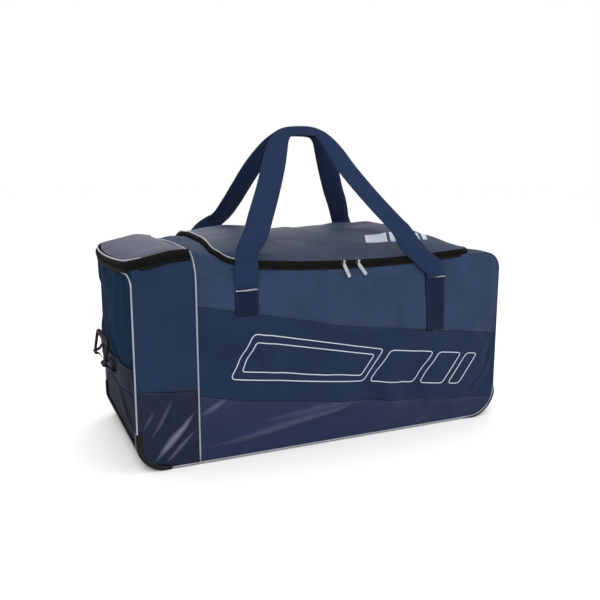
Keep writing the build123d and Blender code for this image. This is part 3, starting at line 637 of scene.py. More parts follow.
def webbing(name, colour, sheen):
    """Woven strap: ribs across it that lean one way and then the other, with fine threads and soft edges."""
    f = Finish(name, Sheen_Weight=sheen, Sheen_Roughness=0.35, Specular_IOR_Level=0.1)
    u, v, _ = f.split(f.cloth_map())
    zigzag = ((u * (1 / ZIGZAG)).part() - 0.5).size() * ZIGZAG
    ribs = ((v + zigzag) * (2 * pi / RIB)).sine() * 0.5 + 0.5
    thread = (u * (2 * pi / 0.0009)).sine() * 0.5 + 0.5
    spot = f.spot()
    worn = f.noise(spot, 26.0, 4.0)
    tone = ribs * 0.35 + thread * 0.15 + (worn - 0.5) * 0.9 + 0.25
    f.give(Base_Color=f.blend(tone.share(), shade(colour, 0.78), shade(colour, 1.28)),
           Roughness=0.72 - ribs * 0.12, Normal=f.bump(ribs * 0.7 + thread * 0.3, 0.0004, 0.9))
    return f.material


band_webbing = webbing("band_webbing", (0.0006, 0.0022, 0.0120), 0.0)
strap_webbing = webbing("strap_webbing", (0.0085, 0.0205, 0.0580), 0.02)
y, share = np.meshgrid(np.linspace(-END_HALF, END_HALF, 90), np.linspace(0, 1, 14))
band_z = BAND_FOOT + (BAND_TOP - BAND_FOOT) * share + 0.006 * (1 - (y / END_HALF) ** 2)
end_band = skin("end_webbing_band", np.swapaxes(end_wall(y, band_z, 0.0026), 0, 1), (0, 0, 0.25))
place(thicken(end_band, 0.0022), band_webbing, "dark_webbing", "shell", "left_end_band")


# Wheel end: a plain navy panel over a strip of tarpaulin that the moulded chassis plate is screwed to.
PLATE_TOP = 0.060
for name, low, high, rows, rippled, proud, finish, slot, node in (
    ("wheel_end_upper", END_SEAM, WHEEL_RIM - SHOULDER, 50, 0.0022, 0.0, navy_oxford, "navy_fabric",
     "right_end_upper_panel"),
    ("wheel_end_tarpaulin", PLATE_TOP, END_SEAM + 0.001, 26, 0.0, 0.0004, end_tarpaulin, "coated_base",
     "right_end_lower_panel"),
):
    y, z = np.meshgrid(ends_close(-END_HALF, END_HALF, 70), np.linspace(low, high, rows))
    bow = np.cos(y / END_HALF * pi / 2)
    out = 0.007 * bow * np.sin((z - PLATE_TOP) / 0.30 * pi) + rippled * ripple(y, z, 0.13, 52) * bow
    panel = skin(name, np.stack([X1 + out + proud, y, z], -1), (0, 0, 0.25))
    place(thicken(panel, WALL), finish, slot, "shell", node)


# Base and inside: tarpaulin under the bag, a stiff board lying on it, and the quilted partition between
# the two compartments, cut round at the top to the bag's section.
x, y = np.meshgrid(np.linspace(-0.365, 0.337, 90), np.linspace(-END_HALF, END_HALF, 40))
base_z = BASE + 0.0006 * ripple(x, y, 0.15, 61) * np.cos(y / HALF * pi / 2)
base = skin("base_tarpaulin", np.stack([x, y, base_z], -1), (0, 0, 0.2))
place(thicken(base, WALL), end_tarpaulin, "coated_base", "shell", "base_panel")

share, y = np.meshgrid(np.linspace(0, 1, 60), ends_close(-HALF + 0.0035, HALF - 0.0035, 60), indexing="ij")
over = np.clip(np.abs(y) - (HALF - ARCH), 0, ARCH - 0.0036)
top = ARCH_TOP - ARCH + np.sqrt((ARCH - 0.003) ** 2 - over ** 2)
z = 0.0075 + (top - 0.0075) * share
quilt = 0.0012 * np.abs(np.sin((y + z) * pi / 0.05) * np.sin((y - z) * pi / 0.05))
partition = skin("partition", np.stack([XP - 0.0012 - quilt, y, z], -1), (0, 0, 0.2))
place(thicken(partition, 0.0028), pocket_oxford, "navy_fabric", "shell", "partition_panel")

board_finish = Finish("base_board", Specular_IOR_Level=0.4)
pits = board_finish.noise(board_finish.spot(), 380.0, 3.0)
smears = board_finish.noise(board_finish.spot(), 9.0, 4.0)
board_finish.give(Base_Color=board_finish.blend(smears, (0.010, 0.010, 0.012, 1), (0.028, 0.028, 0.032, 1)),
                  Roughness=0.5 + smears * 0.2, Normal=board_finish.bump(pits, 0.0004, 0.6))
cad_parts["base_board"].data.materials.clear()
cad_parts["base_board"].data.materials.append(board_finish.material)


# Piping: a cord rolled in a strip of silver-grey coated cloth and caught in the seams that give the bag
# its outline. It shows at the partition, round the pocket end and along the bottom of the sides.
PIPE = 0.0016


def shut(obj, merged=False):
    """Cap a tube's open ends with sharp rims, after merging the rows where a closed one meets itself, and
    turn its faces outwards."""
    shape = bmesh.new()
    shape.from_mesh(obj.data)
    if merged:
        bmesh.ops.remove_doubles(shape, verts=shape.verts, dist=1e-6)
    rims = [e for e in shape.edges if e.is_boundary]
    for e in rims:
        e.smooth = False
    if rims:
        bmesh.ops.holes_fill(shape, edges=rims, sides=0)
    bmesh.ops.recalc_face_normals(shape, faces=shape.faces)
    shape.to_mesh(obj.data)
    shape.free()
    return obj


def carried(name, path, section, up, closed=False):
    """A profile carried along a path: each of its points stands off the path by so much sideways and so
    much along up, where sideways is at right angles to both the path and up."""
    ahead = np.roll(path, -1, 0) - np.roll(path, 1, 0)
    if not closed:
        ahead[0], ahead[-1] = path[1] - path[0], path[-1] - path[-2]
    ahead = ahead / np.linalg.norm(ahead, axis=1)[:, None]
    up = np.broadcast_to(np.asarray(up, float), path.shape)
    side = np.cross(ahead, up)
    side = side / np.linalg.norm(side, axis=1)[:, None]
    above = np.cross(side, ahead)
    section = np.broadcast_to(section, (len(path),) + np.shape(section)[-2:])
    rows = path[:, None] + side[:, None] * section[..., :1] + above[:, None] * section[..., 1:]
    if closed:
        rows = np.concatenate([rows, rows[:1]])
    return shut(skin(name, rows, tuple(path.mean(0)), loop=True), merged=True)


def ring(radius, count=10, flat=1.0):
    """A round profile, pressed to flat times its height."""
    angle = np.linspace(0, 2 * pi, count, endpoint=False)
    return radius * np.stack([np.cos(angle), flat * np.sin(angle)], -1)


def evenly(path, step):
    """A path's points spaced evenly, step apart, by its length."""
    reach = np.concatenate([[0], np.cumsum(np.linalg.norm(np.diff(path, axis=0), axis=1))])
    at = np.linspace(0, reach[-1], max(int(reach[-1] / step), 2))
    return np.stack([np.interp(at, reach, path[:, i]) for i in range(3)], -1)


def eased(path, passes=6):
    """A path with its corners relaxed: each point moves half way to the middle of its neighbours."""
    for _ in range(passes):
        path = np.concatenate([path[:1], (path[:-2] + 2 * path[1:-1] + path[2:]) / 4, path[-1:]])
    return path


def joined(pieces, name):
    """Several meshes as one object."""
    shape = bmesh.new()
    for obj in pieces:
        shape.from_mesh(obj.data)
    pieces[0].name = pieces[0].data.name = name
    shape.to_mesh(pieces[0].data)
    shape.free()
    for obj in pieces[1:]:
        bpy.data.objects.remove(obj)
    return pieces[0]


silver = Finish("silver_piping", Specular_IOR_Level=0.5, Coat_Weight=0.15)
along = silver.split(silver.cloth_map())[1]
scuff = silver.noise(silver.spot(), 70.0, 4.0)
silver.give(Base_Color=silver.blend(scuff, (0.17, 0.18, 0.205, 1), (0.34, 0.355, 0.39, 1)),
            Roughness=0.30 + scuff * 0.25,
            Normal=silver.bump((along * (2 * pi / 0.0016)).sine() * 0.5 + scuff, 0.0003, 0.5))
section = arch(BASE)
hoop = np.concatenate([section, line((HALF, BASE), (-HALF, BASE), 30)[1:-1]])
hoop = np.stack([np.full(len(hoop), XP), *hoop.T], -1)
out = np.where(hoop[:, 2] < ARCH_TOP - ARCH, np.sign(hoop[:, 1]) * (np.abs(hoop[:, 1]) > HALF - 0.001), 0)
hoop[:, 1] += out * 0.0006
hoop_piping = carried("partition_hoop", hoop, ring(PIPE), (1, 0, 0), closed=True)
place(hoop_piping, silver.material, "piping", "shell", "partition_piping")
END_ROUND = 0.024
for side, way in (("front", -1), ("back", 1)):
    bottom = np.concatenate([
        line((-0.357, BASE), (X1 - RIGHT_CORNER, BASE), 90),
        turn((X1 - RIGHT_CORNER, BASE + RIGHT_CORNER), -90, -2, RIGHT_CORNER, 26)[1:],
    ])
    path = np.stack([bottom[:, 0], np.full(len(bottom), way * (HALF + 0.0006)), bottom[:, 1]], -1)
    bottom_pipe = carried(f"{side}_bottom_piping", path, ring(PIPE), (0, 1, 0))
    place(bottom_pipe, silver.material, "piping", "shell", f"{side}_piping")
    edge = np.concatenate([
        line((X1, BASE + RIGHT_CORNER), (X1, WHEEL_RIM - SHOULDER), 30),
        turn((X1 - SHOULDER, WHEEL_RIM - SHOULDER), 0, 90, SHOULDER, 20)[1:],
        line((X1 - SHOULDER, WHEEL_RIM), (MOUTH_RIGHT - 0.03, WHEEL_RIM), 10)[1:],
    ])
    path = np.stack([edge[:, 0], np.full(len(edge), way * (HALF - 0.0004)), edge[:, 1]], -1)
    corner_seam = carried(f"{side}_wheel_end_seam", path, ring(0.0013, 8), (0, 1, 0))
    place(corner_seam, navy_oxford, "navy_fabric", "shell")

level = 0.386  # just under the pocket's mouth
upright = line((-HALF, 0.080), (-HALF, level - END_ROUND), 40)
over = turn((-HALF + END_ROUND, level - END_ROUND), 180, 90, END_ROUND, 18)[1:]
top = line((-HALF + END_ROUND, level), (HALF - END_ROUND, level), 60)[1:]
half = np.concatenate([upright, over])
end_line = np.concatenate([half, top[:-1], half[::-1] * (-1, 1)])
y, z = end_line.T
end_path = np.stack([X0 - end_bulge(y, np.minimum(z, level)) - 0.0012, y, z], -1)
end_piping = carried("pocket_end_piping", eased(end_path, 3), ring(PIPE), (1, 0, 0))
place(end_piping, silver.material, "piping", "shell")


# Zips: woven black tape sewn to both sides of each mouth, with a moulded coil along its edge. One half
# stays on the bag and the other goes with the lid.
COIL = 0.0017


def plan_path(points, height):
    """A path in plan given a height at each of its points."""
    return np.stack([points[:, 0], points[:, 1], height(points[:, 0], points[:, 1])], -1)


MOUTH_ENDS = 0.172  # the zip's two ends, short of the hinge
mouth_plan = np.concatenate([
    line((MOUTH_LEFT, MOUTH_ENDS), (MOUTH_LEFT, MOUTH_FRONT + MOUTH_ROUND), 60)[:-1],
    turn((MOUTH_LEFT + MOUTH_ROUND, MOUTH_FRONT + MOUTH_ROUND), 180, 270, MOUTH_ROUND, 30)[:-1],
    line((MOUTH_LEFT + MOUTH_ROUND, MOUTH_FRONT), (MOUTH_RIGHT - MOUTH_ROUND, MOUTH_FRONT), 160),
    turn((MOUTH_RIGHT - MOUTH_ROUND, MOUTH_FRONT + MOUTH_ROUND), -90, 0, MOUTH_ROUND, 30)[1:],
    line((MOUTH_RIGHT, MOUTH_FRONT + MOUTH_ROUND), (MOUTH_RIGHT, MOUTH_ENDS), 60)[1:],
])


def mouth_height(x, y):
    """The zip's height: it follows the sagging rim in front, rides over the yoke on the left, and lies
    level on the right."""
    return rim_line(np.clip(x, STRAP_X - 0.02, 0.30)) + left_lift(x, y)


zip_line = plan_path(mouth_plan, mouth_height)
tape_weave = Finish("zip_tape", Specular_IOR_Level=0.08)
u, v, _ = tape_weave.split(tape_weave.cloth_map())
twill = ((u + v) * (2 * pi / 0.0014)).sine() * 0.5 + 0.5
dust = tape_weave.noise(tape_weave.spot(), 90.0, 3.0)
black = tape_weave.blend(twill * 0.5 + dust * 0.5, (0.002, 0.002, 0.002, 1), (0.009, 0.009, 0.008, 1))
tape_weave.give(Base_Color=black, Roughness=0.85 - twill * 0.1, Normal=tape_weave.bump(twill, 0.0003, 0.8))


def tape(name, path, low, high, lean):
    """A tape standing along a path from low to high of it, its top leaning in by lean, 1 mm thick."""
    section = np.array([(-0.0005, low), (0.0006, low), (0.0005 - lean, high), (-0.0006 - lean, high)])
    return carried(name, path, section, (0, 0, 1))


def coil(name, path, lift):
    """A zip's coil: a round profile whose size swells and shrinks once for each turn of the coil."""
    run = evenly(path, 0.00065)
    swell = 1 + 0.22 * np.sin(np.arange(len(run)) * 2 * pi / 4)
    section = ring(COIL, 6)[None] * swell[:, None, None]
    section = section + np.array([0.0008, lift])
    return carried(name, run, section, (0, 0, 1))


fine_line = evenly(zip_line, 0.004)


def rim_plan(inset, corner):
    """The pocket's mouth in plan, from the partition along the front, round the padded end and back along
    the other side, drawn in by inset."""
    edge, right = HALF - inset, XP - 0.006
    y = np.linspace(-edge, edge, 90)
    left = X0 + inset - END_BULGE * (1 - np.abs(y / edge) ** 2.2) ** 0.85
    into = np.clip(np.abs(y) - (edge - corner), 0, corner)
    left = left + corner - np.sqrt(corner ** 2 - into ** 2)
    y, left = y[1:-1], left[1:-1]
    start = line((right, -edge), (X0 + inset + corner, -edge), 40)[:-1]
    end = line((X0 + inset + corner, edge), (right, edge), 40)[1:]
    plan = np.concatenate([start, np.stack([left, y], -1), end])
    plan[:, 1] -= np.sign(plan[:, 1]) * lean_in(plan[:, 0], pocket_rim(plan[:, 0]))
    return plan


pocket_line = eased(evenly(plan_path(rim_plan(-0.0030, 0.03), pocket_rim), 0.004)[::-1], 4)
for name, body, tape_line, low, high, lean, coil_line, lift in (
    ("main_zip_body", "shell", fine_line, -0.0085, 0.0002, 0.001, zip_line, 0.0004),
    ("main_zip_lid", "main_lid", fine_line, 0.0042, 0.0092, 0.002, zip_line, 0.0036),
    ("pocket_zip_body", "shell", pocket_line, -0.0035, 0.0060, 0.001, pocket_line + (0, 0, 0.0068), 0.0),
    ("pocket_zip_lid", "pocket_lid", pocket_line, 0.0112, 0.0190, 0.003, pocket_line + (0, 0, 0.0102), 0.0),
):
    half = joined([tape("tape", tape_line, low, high, lean), coil("coil", coil_line, lift)], name)
    place(half, tape_weave.material, "zip_tape", body, f"{name}_tape")


# Lids: coated grey-navy cloth with a fine diamond weave, stretched over a thin foam and drawn up from
# the zip in a low dome. The main lid is highest near its hinge, and the pocket lid follows the rim.
DIAMOND = 0.0034


def lid_cloth(name, colour):
    """Coated cloth with an embossed diamond net, a thin film and worn high places."""
    f = Finish(name, Specular_IOR_Level=0.20, Coat_Roughness=0.4)
    spot = f.spot()
    x, y, _ = f.split(spot)
    one = (((x + y) * (1 / DIAMOND)).part() - 0.5).size()
    two = (((x - y) * (1 / DIAMOND)).part() - 0.5).size()
    net = one.least(two) * 2.0
    rub = f.noise(spot, 7.0, 5.0)
    grain = f.noise(spot, 300.0, 2.0)
    tone = (rub - 0.5) * 1.0 + (net - 0.5) * 0.45 + 0.5
    f.give(Base_Color=f.blend(tone.share(), shade(colour, 0.78), shade(colour, 1.22)),
           Roughness=0.50 + rub * 0.2, Coat_Weight=0.02,
           Normal=f.bump(net * 0.8 + grain * 0.4 + f.noise(spot, 26.0, 3.0) * 1.5, 0.0005, 0.7))
    return f.material


lid_grey = lid_cloth("lid_grey", (0.0165, 0.0270, 0.0600))
pocket_grey = lid_cloth("pocket_grey", (0.0330, 0.0370, 0.0760))
LID_SLACK = slack_cloth(0.60, 0.37, 0.0085, 0.014, 17)
LID_RIPPLE = 0.003
LID_TOP = 0.4465


def rise(gap, reach, power):
    """A share that grows from 0 at an edge to 1 at reach from it, quickly at first."""
    return 1 - (1 - np.clip(gap / reach, 0, 1)) ** power


LID_FRONT, LID_BACK, LID_IN = MOUTH_FRONT + 0.004, 0.176, 0.004
LID_EDGE = 0.0088  # the cloth's edge over the middle of the zip


def lid_ends(y):
    """Where the main lid starts and ends at a depth, round its two front corners."""
    into = np.clip(MOUTH_ROUND - (y - LID_FRONT), 0, MOUTH_ROUND)
    round_off = MOUTH_ROUND - np.sqrt(MOUTH_ROUND ** 2 - into ** 2) + LID_IN
    return MOUTH_LEFT + round_off, MOUTH_RIGHT - round_off


def lid_height(x, y):
    """The main lid's height: its edge just over the zip, then a dome that rises slowly from the front and
    quickly at the hinge, with a shallow sag along the middle and the cloth's own slack."""
    left, right = lid_ends(y)
    back = np.clip((y - 0.12) / (LID_BACK - 0.12), 0, 1)
    edge = (mouth_height(x, y) + LID_EDGE) * (1 - back) + 0.394 * back
    grow = rise(x - left, 0.12, 2.6) * rise(right - x, 0.12, 2.6)
    grow = grow * rise(y - LID_FRONT, 0.27, 2.3) * rise(LID_BACK - y, 0.06, 2.6)
    top = LID_TOP - 0.004 * np.exp(-((x - 0.02) / 0.16) ** 2) + 0.0022 * ripple(x, y, 0.2, 71)
    slack = reading(LID_SLACK, (x - MOUTH_LEFT) / (MOUTH_RIGHT - MOUTH_LEFT), (y + HALF) / 0.37)
    slack = LID_RIPPLE * np.tanh(slack / LID_RIPPLE)
    return edge + (top - edge + slack) * grow


share, y = np.meshgrid(ends_close(0, 1, 150), ends_close(LID_FRONT, LID_BACK, 96))
left, right = lid_ends(y)
x = left + (right - left) * share
lid_top = skin("main_lid_cloth", np.stack([x, y, lid_height(x, y)], -1), (0.05, 0, 0.2))
thicken(lid_top, 0.003)
place(lid_top, lid_grey, "coated_lid", "main_lid", "main_lid")

POCKET_IN, POCKET_EDGE = 0.0050, 0.0182
share, across = np.meshgrid(ends_close(0, 1, 50), ends_close(-1, 1, 110))
half, corner = HALF - POCKET_IN, 0.027
into = np.clip(np.abs(across) * half - half + corner, 0, corner)
left = X0 + POCKET_IN + corner - np.sqrt(corner ** 2 - into ** 2) - END_BULGE * (1 - np.abs(across) ** 2.2) ** 0.85
x = left + (XP - 0.006 - left) * share
y = across * (half - lean_in(x, pocket_rim(x)))
hinge_side = rise(XP - 0.006 - x, 0.03, 2.0)
grow = rise((1 - np.abs(across)) * half, 0.05, 2.4) * rise(x - left, 0.045, 2.4) * hinge_side
edge = pocket_rim(x) + POCKET_EDGE - 0.0030 * (1 - hinge_side)
z = edge + (0.0058 + 0.0014 * ripple(x, y, 0.13, 83)) * grow
pocket_top = skin("pocket_lid_cloth", np.stack([x, y, z], -1), (-0.36, 0, 0.2))
thicken(pocket_top, 0.003)
place(pocket_top, pocket_grey, "coated_lid", "pocket_lid", "pocket_lid")

end_part = pocket_line[pocket_line[:, 0] < X0 + 0.022]
end_inward = (np.array([-0.36, 0.0]) - end_part[:, :2]) * 0.022
left_part = fine_line[: int(np.argmax(fine_line[:, 0] > STRAP_X))]
left_inward = np.array([0.05, 0.0]) - left_part[:, :2]
left_inward = left_inward / np.linalg.norm(left_inward, axis=1)[:, None] * 0.0040
for body, edge, inward, above in (
    ("pocket_lid", end_part, end_inward, 0.0192),
    ("main_lid", left_part, left_inward, 0.0098),
):
    path = edge + np.stack([*inward.T, np.full(len(edge), above)], -1)
    place(carried(f"{body}_piping", path, ring(PIPE, 8), (0, 0, 1)), silver.material, "piping", body)


# Hinges: along the back of each lid the cloth simply folds. The strip is sewn to the wall on one side and
# to the lid on the other, so it bends between them.
x, share = np.meshgrid(np.linspace(MOUTH_LEFT + 0.006, MOUTH_RIGHT - 0.006, 120), np.linspace(0, 1, 14))
hinge_y = 0.1895 - 0.018 * share
hinge_z = 0.3865 + 0.009 * np.sin(share * pi / 2) + 0.0006 * ripple(x, share, 0.08, 91)
hinge_fold = thicken(skin("main_lid_hinge_fold", np.stack([x, hinge_y, hinge_z], -1), (0.05, 0, 0.2)), 0.0022)
hinge_fold.data.materials.append(navy_oxford)
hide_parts("lid_hinge_strip")
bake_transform(hinge_fold)

y, share = np.meshgrid(np.linspace(-0.160, 0.160, 100), np.linspace(0, 1, 10))
over = np.clip(np.abs(y) - HALF + ARCH, 0, ARCH)
crown = 0.004 * np.cos(np.clip(y / (HALF - ARCH), -1, 1) * pi / 2)
on_arch = ARCH_TOP - ARCH + np.sqrt(ARCH ** 2 - over ** 2) + crown
on_lid = np.full_like(y, float(pocket_rim(XP)) + POCKET_EDGE - 0.0035)
fold_z = on_arch + (on_lid - on_arch) * share - 0.0004
fold_rows = np.stack([XP - 0.0005 - 0.0085 * share, y, fold_z], -1)
pocket_fold = thicken(skin("pocket_lid_hinge_fold", fold_rows, (-0.3, 0, 0.2)), 0.002)
pocket_fold.data.materials.append(pocket_oxford)
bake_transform(pocket_fold)


# Carry handles: 50 mm webbing, doubled back and stitched down on a patch, then free from the bartack to
# the grip, where it is folded in half and sewn. Each leg is bent from a piece sewn to the side panel, a
# root that stands past the lid's edge, and the loop that leans in over the lid.
WEB = 0.050
WEB_THICK = 0.0022
BARTACK = 0.344
ROOT_TOP = 0.450
GRIP_HEIGHT = 0.657
GRIP_HALF_GAP = 0.0115
ROOT_Y = 0.195
PATCH_FEET = (0.295, 0.226)
STRAP_FEET = (-0.20, 0.243)
# Each leg as (across, height, share of the width), from the bartack up; the grip joins their tops.
LEGS = {
    "front": (
        ((-0.200, 0.344, 1.0), (-0.200, 0.385, 0.97), (-0.1985, 0.420, 0.93), (-0.168, 0.470, 1.0),
         (-0.128, 0.530, 1.0), (-0.094, 0.585, 1.0), (-0.070, 0.625, 0.90), (-0.050, 0.648, 0.66)),
        ((0.243, 0.344, 1.0), (0.238, 0.362, 0.92), (0.205, 0.388, 0.86), (0.165, 0.425, 0.96),
         (0.140, 0.462, 1.0), (0.108, 0.515, 1.0), (0.078, 0.575, 1.0), (0.064, 0.618, 0.90), (0.052, 0.645, 0.68)),
    ),
    "back": (
        ((-0.200, 0.344, 1.0), (-0.200, 0.385, 0.97), (-0.180, 0.425, 0.90), (-0.134, 0.462, 0.95),
         (-0.114, 0.500, 1.0), (-0.100, 0.540, 1.0), (-0.082, 0.588, 1.0), (-0.062, 0.628, 0.86), (-0.048, 0.648, 0.62)),
        ((0.243, 0.344, 1.0), (0.236, 0.385, 0.97), (0.214, 0.437, 0.96), (0.181, 0.488, 1.0),
         (0.148, 0.530, 1.0), (0.112, 0.580, 1.0), (0.082, 0.620, 0.88), (0.058, 0.646, 0.66)),
    ),
}


def bent(knots, step):
    """A smooth path through knots: a Catmull-Rom curve in each of their numbers, spaced evenly."""
    knots = np.array(knots, float)
    ends = np.concatenate([[2 * knots[0] - knots[1]], knots, [2 * knots[-1] - knots[-2]]])
    t = np.linspace(0, 1, 12, endpoint=False)[:, None, None]
    a, b, c, d = ends[:-3], ends[1:-2], ends[2:-1], ends[3:]
    curve = 0.5 * (2 * b + (c - a) * t + (2 * a - 5 * b + 4 * c - d) * t ** 2 + (3 * b - a - 3 * c + d) * t ** 3)
    curve = np.concatenate([curve.transpose(1, 0, 2).reshape(-1, knots.shape[1]), knots[-1:]])
    reach = np.concatenate([[0], np.cumsum(np.linalg.norm(np.diff(curve[:, :2], axis=0), axis=1))])
    at = np.linspace(0, reach[-1], int(reach[-1] / step))
    return np.stack([np.interp(at, reach, curve[:, i]) for i in range(knots.shape[1])], -1)


def strap_depth(way, height):
    """Where the webbing stands across the bag at a height: on the cloth at the bartack, out past the zip,
    then leaning in to the grip."""
    lean = np.clip((height - ROOT_TOP) / (GRIP_HEIGHT - ROOT_TOP), 0, 1)
    low = HALF + 0.0035 + 0.0035 * np.clip((height - BARTACK) / 0.03, 0, 1)
    return way * (np.where(height < 0.43, low, ROOT_Y + 0.002) * (1 - lean) + GRIP_HALF_GAP * lean)


def ribbon(name, path, width, curl=0.0):
    """Webbing along a path of (x, y, z), width wide at each point and 2.2 mm thick with rounded edges: a
    flat profile whose sideways direction lies in the plane of the strap."""
    ahead = np.gradient(path, axis=0)
    ahead = ahead / np.linalg.norm(ahead, axis=1)[:, None]
    way = 1 if path[:, 1].mean() > 0 else -1
    lean = np.array([0, way * (GRIP_HEIGHT - ROOT_TOP), ROOT_Y - GRIP_HALF_GAP])
    upright = np.clip((path[:, 2] - 0.43) / 0.03, 0, 1)[:, None]
    face = np.array([0, way, 0]) * (1 - upright) + lean / np.linalg.norm(lean) * upright
    side = np.cross(ahead, face)
    side = side / np.linalg.norm(side, axis=1)[:, None]
    out = np.cross(side, ahead)
    across = np.array([-0.5, -0.485, -0.25, 0, 0.25, 0.485, 0.5, 0.485, 0.25, 0, -0.25, -0.485])
    lift = np.array([0, 1, 1, 1, 1, 1, 0, -1, -1, -1, -1, -1]) * WEB_THICK / 2
    cup = curl * (across * 2) ** 2
    rows = path[:, None] + side[:, None] * (across[None, :, None] * width[:, None, None])
    rows = rows + out[:, None] * (lift + cup)[None, :, None]
    return shut(skin(name, rows, (0, 0, 0), loop=True))


def stitches(name, path, out, pitch=0.0042, length=0.0030, thick=0.00042):
    """A row of stitches along a path: each is a grain with six corners, pointed at both ends, lying
    along the path and standing out by its thickness."""
    path = evenly(path, 0.001)
    reach = np.concatenate([[0], np.cumsum(np.linalg.norm(np.diff(path, axis=0), axis=1))])
    at = np.arange(pitch / 2, reach[-1] - pitch / 2, pitch)
    spot = lambda d: np.stack([np.interp(at + d, reach, path[:, i]) for i in range(3)], -1)
    start, end = spot(-length / 2), spot(length / 2)
    ahead = (end - start) / np.linalg.norm(end - start, axis=1)[:, None]
    out = np.broadcast_to(np.asarray(out, float), ahead.shape)
    side = np.cross(ahead, out) * thick
    middle = (start + end) / 2
    corners = np.stack([start, middle + side, middle + out * thick, middle - side, middle - out * thick, end], 1)
    first = np.arange(len(at))[:, None, None] * 6
    faces = np.array([(0, 2, 1), (0, 3, 2), (0, 4, 3), (0, 1, 4), (5, 1, 2), (5, 2, 3), (5, 3, 4), (5, 4, 1)])
    mesh = bpy.data.meshes.new(name)
    mesh.from_pydata(corners.reshape(-1, 3).tolist(), [], (first + faces).reshape(-1, 3).tolist())
    mesh.uv_layers.new(name="cloth")
    obj = bpy.data.objects.new(name, mesh)
    scene.collection.objects.link(obj)
    return shut(obj)


def thread(name, dark, light):
    """Bonded sewing thread."""
    f = Finish(name, Specular_IOR_Level=0.5, Sheen_Weight=0.2)
    twist = f.noise(f.spot(), 900.0, 2.0)
    f.give(Base_Color=f.blend(twist, dark, light), Roughness=0.5 + twist * 0.2)
    return f.material


navy_thread = thread("navy_thread", (0.010, 0.016, 0.036, 1), (0.035, 0.050, 0.095, 1))
pale_thread = thread("pale_thread", (0.45, 0.46, 0.50, 1), (0.75, 0.76, 0.80, 1))
dark_strap = webbing("patch_webbing", (0.0022, 0.0085, 0.0280), 0.0)
SPLIT = 0.400  # the height at which the roots end and the loop starts
SEAM_IN = 0.003
PATCH_WALL = 0.0024
for side, way in (("front", -1), ("back", 1)):
    patches, tacks, seams = [], [], []
    for x, foot in zip(STRAP_FEET, PATCH_FEET):
        up, over = np.linspace(foot, BARTACK + 0.004, 30), np.linspace(-WEB / 2, WEB / 2, 12)
        z, across = np.meshgrid(up, over, indexing="ij")
        y = way * (HALF + relief(way, x + across, z) + 0.0028)
        patches.append(skin("patch", np.stack([x + across, y, z], -1), (0, 0, 0.2)))
        left, right = x - WEB / 2 + SEAM_IN, x + WEB / 2 - SEAM_IN
        outline = [(left, BARTACK), (left, foot + SEAM_IN), (right, foot + SEAM_IN), (right, BARTACK)]
        for row_start, row_end in zip(outline[:-1], outline[1:]):
            row = line(row_start, row_end, 30)
            y = way * (HALF + relief(way, row[:, 0], row[:, 1]) + 0.0030)
            seams.append(stitches("seam", np.stack([row[:, 0], y, row[:, 1]], -1), (0, way, 0)))
        zig = np.linspace(-WEB / 2 + 0.001, WEB / 2 - 0.001, 61)
        z = BARTACK + 0.0012 * (np.arange(61) % 2 * 2 - 1)
        tack = np.stack([x + zig, np.full(61, way * (HALF + 0.0048)) + way * relief(way, x + zig, z), z], -1)
        tacks.append(carried("tack", tack, ring(0.00055, 6), (0, 1, 0)))
    patch = joined(patches, f"{side}_strap_patch_pair")
    place(thicken(patch, PATCH_WALL), dark_strap, "dark_webbing", "shell", f"{side}_strap_patches")
    place(joined(seams, f"{side}_patch_stitching"), navy_thread, "webbing", "shell")
    place(joined(tacks, f"{side}_bartacks"), pale_thread, "piping", "shell")

    left, right = LEGS[side]
    grip = tuple((x, GRIP_HEIGHT + above, 0.54) for x, above in ((-0.030, 0.002), (0.010, 0.0045), (0.036, 0.001)))
    whole = bent(left + grip + right[::-1], 0.004)
    depth = strap_depth(way, whole[:, 1])
    kernel = np.array([1, 2, 3, 2, 1]) / 9
    depth[2:-2] = np.convolve(depth, kernel, "valid")
    path = np.stack([whole[:, 0], depth, whole[:, 1]], -1)
    width = WEB * whole[:, 2]
    low_left = int(np.argmax(path[:, 2] > SPLIT))
    low_right = len(path) - int(np.argmax(path[::-1, 2] > SPLIT))
    lower = joined([ribbon("root", path[: low_left + 1], width[: low_left + 1]),
                    ribbon("root", path[low_right - 1 :], width[low_right - 1 :])], f"{side}_strap_roots")
    upper = ribbon(f"{side}_strap_loop", path[low_left:low_right], width[low_left:low_right], 0.0012)
    for obj, node, bodies, z_from, z_to in (
        (lower, f"{side}_handle_roots", ("shell", f"{side}_roots"), BARTACK - 0.002, BARTACK + 0.014),
        (upper, f"{side}_handle_loop", (f"{side}_roots", f"{side}_loop"), ROOT_TOP - 0.012, ROOT_TOP + 0.012),
    ):
        obj.data.materials.append(strap_webbing)
        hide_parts(node)
        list(bodies)
        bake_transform(obj)
    inner = slice(int(np.argmax(path[:, 0] > -0.045)), len(path) - int(np.argmax(path[::-1, 0] < 0.045)))
    lean = np.array([0, way * (GRIP_HEIGHT - ROOT_TOP), ROOT_Y - GRIP_HALF_GAP])
    lean = lean / np.linalg.norm(lean)
    rows = [path[inner] + lean * 0.0026 + np.array([0, 0, d]) for d in (0.0105, -0.0105)]
    fold_path = path[inner] + np.array([0, -way * WEB_THICK, -0.0005])
    fold_cloth = ribbon(f"{side}_grip_fold", fold_path, width[inner] * 0.96)
    place(fold_cloth, dark_strap, "webbing", f"{side}_loop")
    grip_seam = joined([stitches("seam", row - lean * 0.0010, tuple(lean)) for row in rows], f"{side}_grip_stitching")
    place(grip_seam, navy_thread, "webbing", f"{side}_loop")


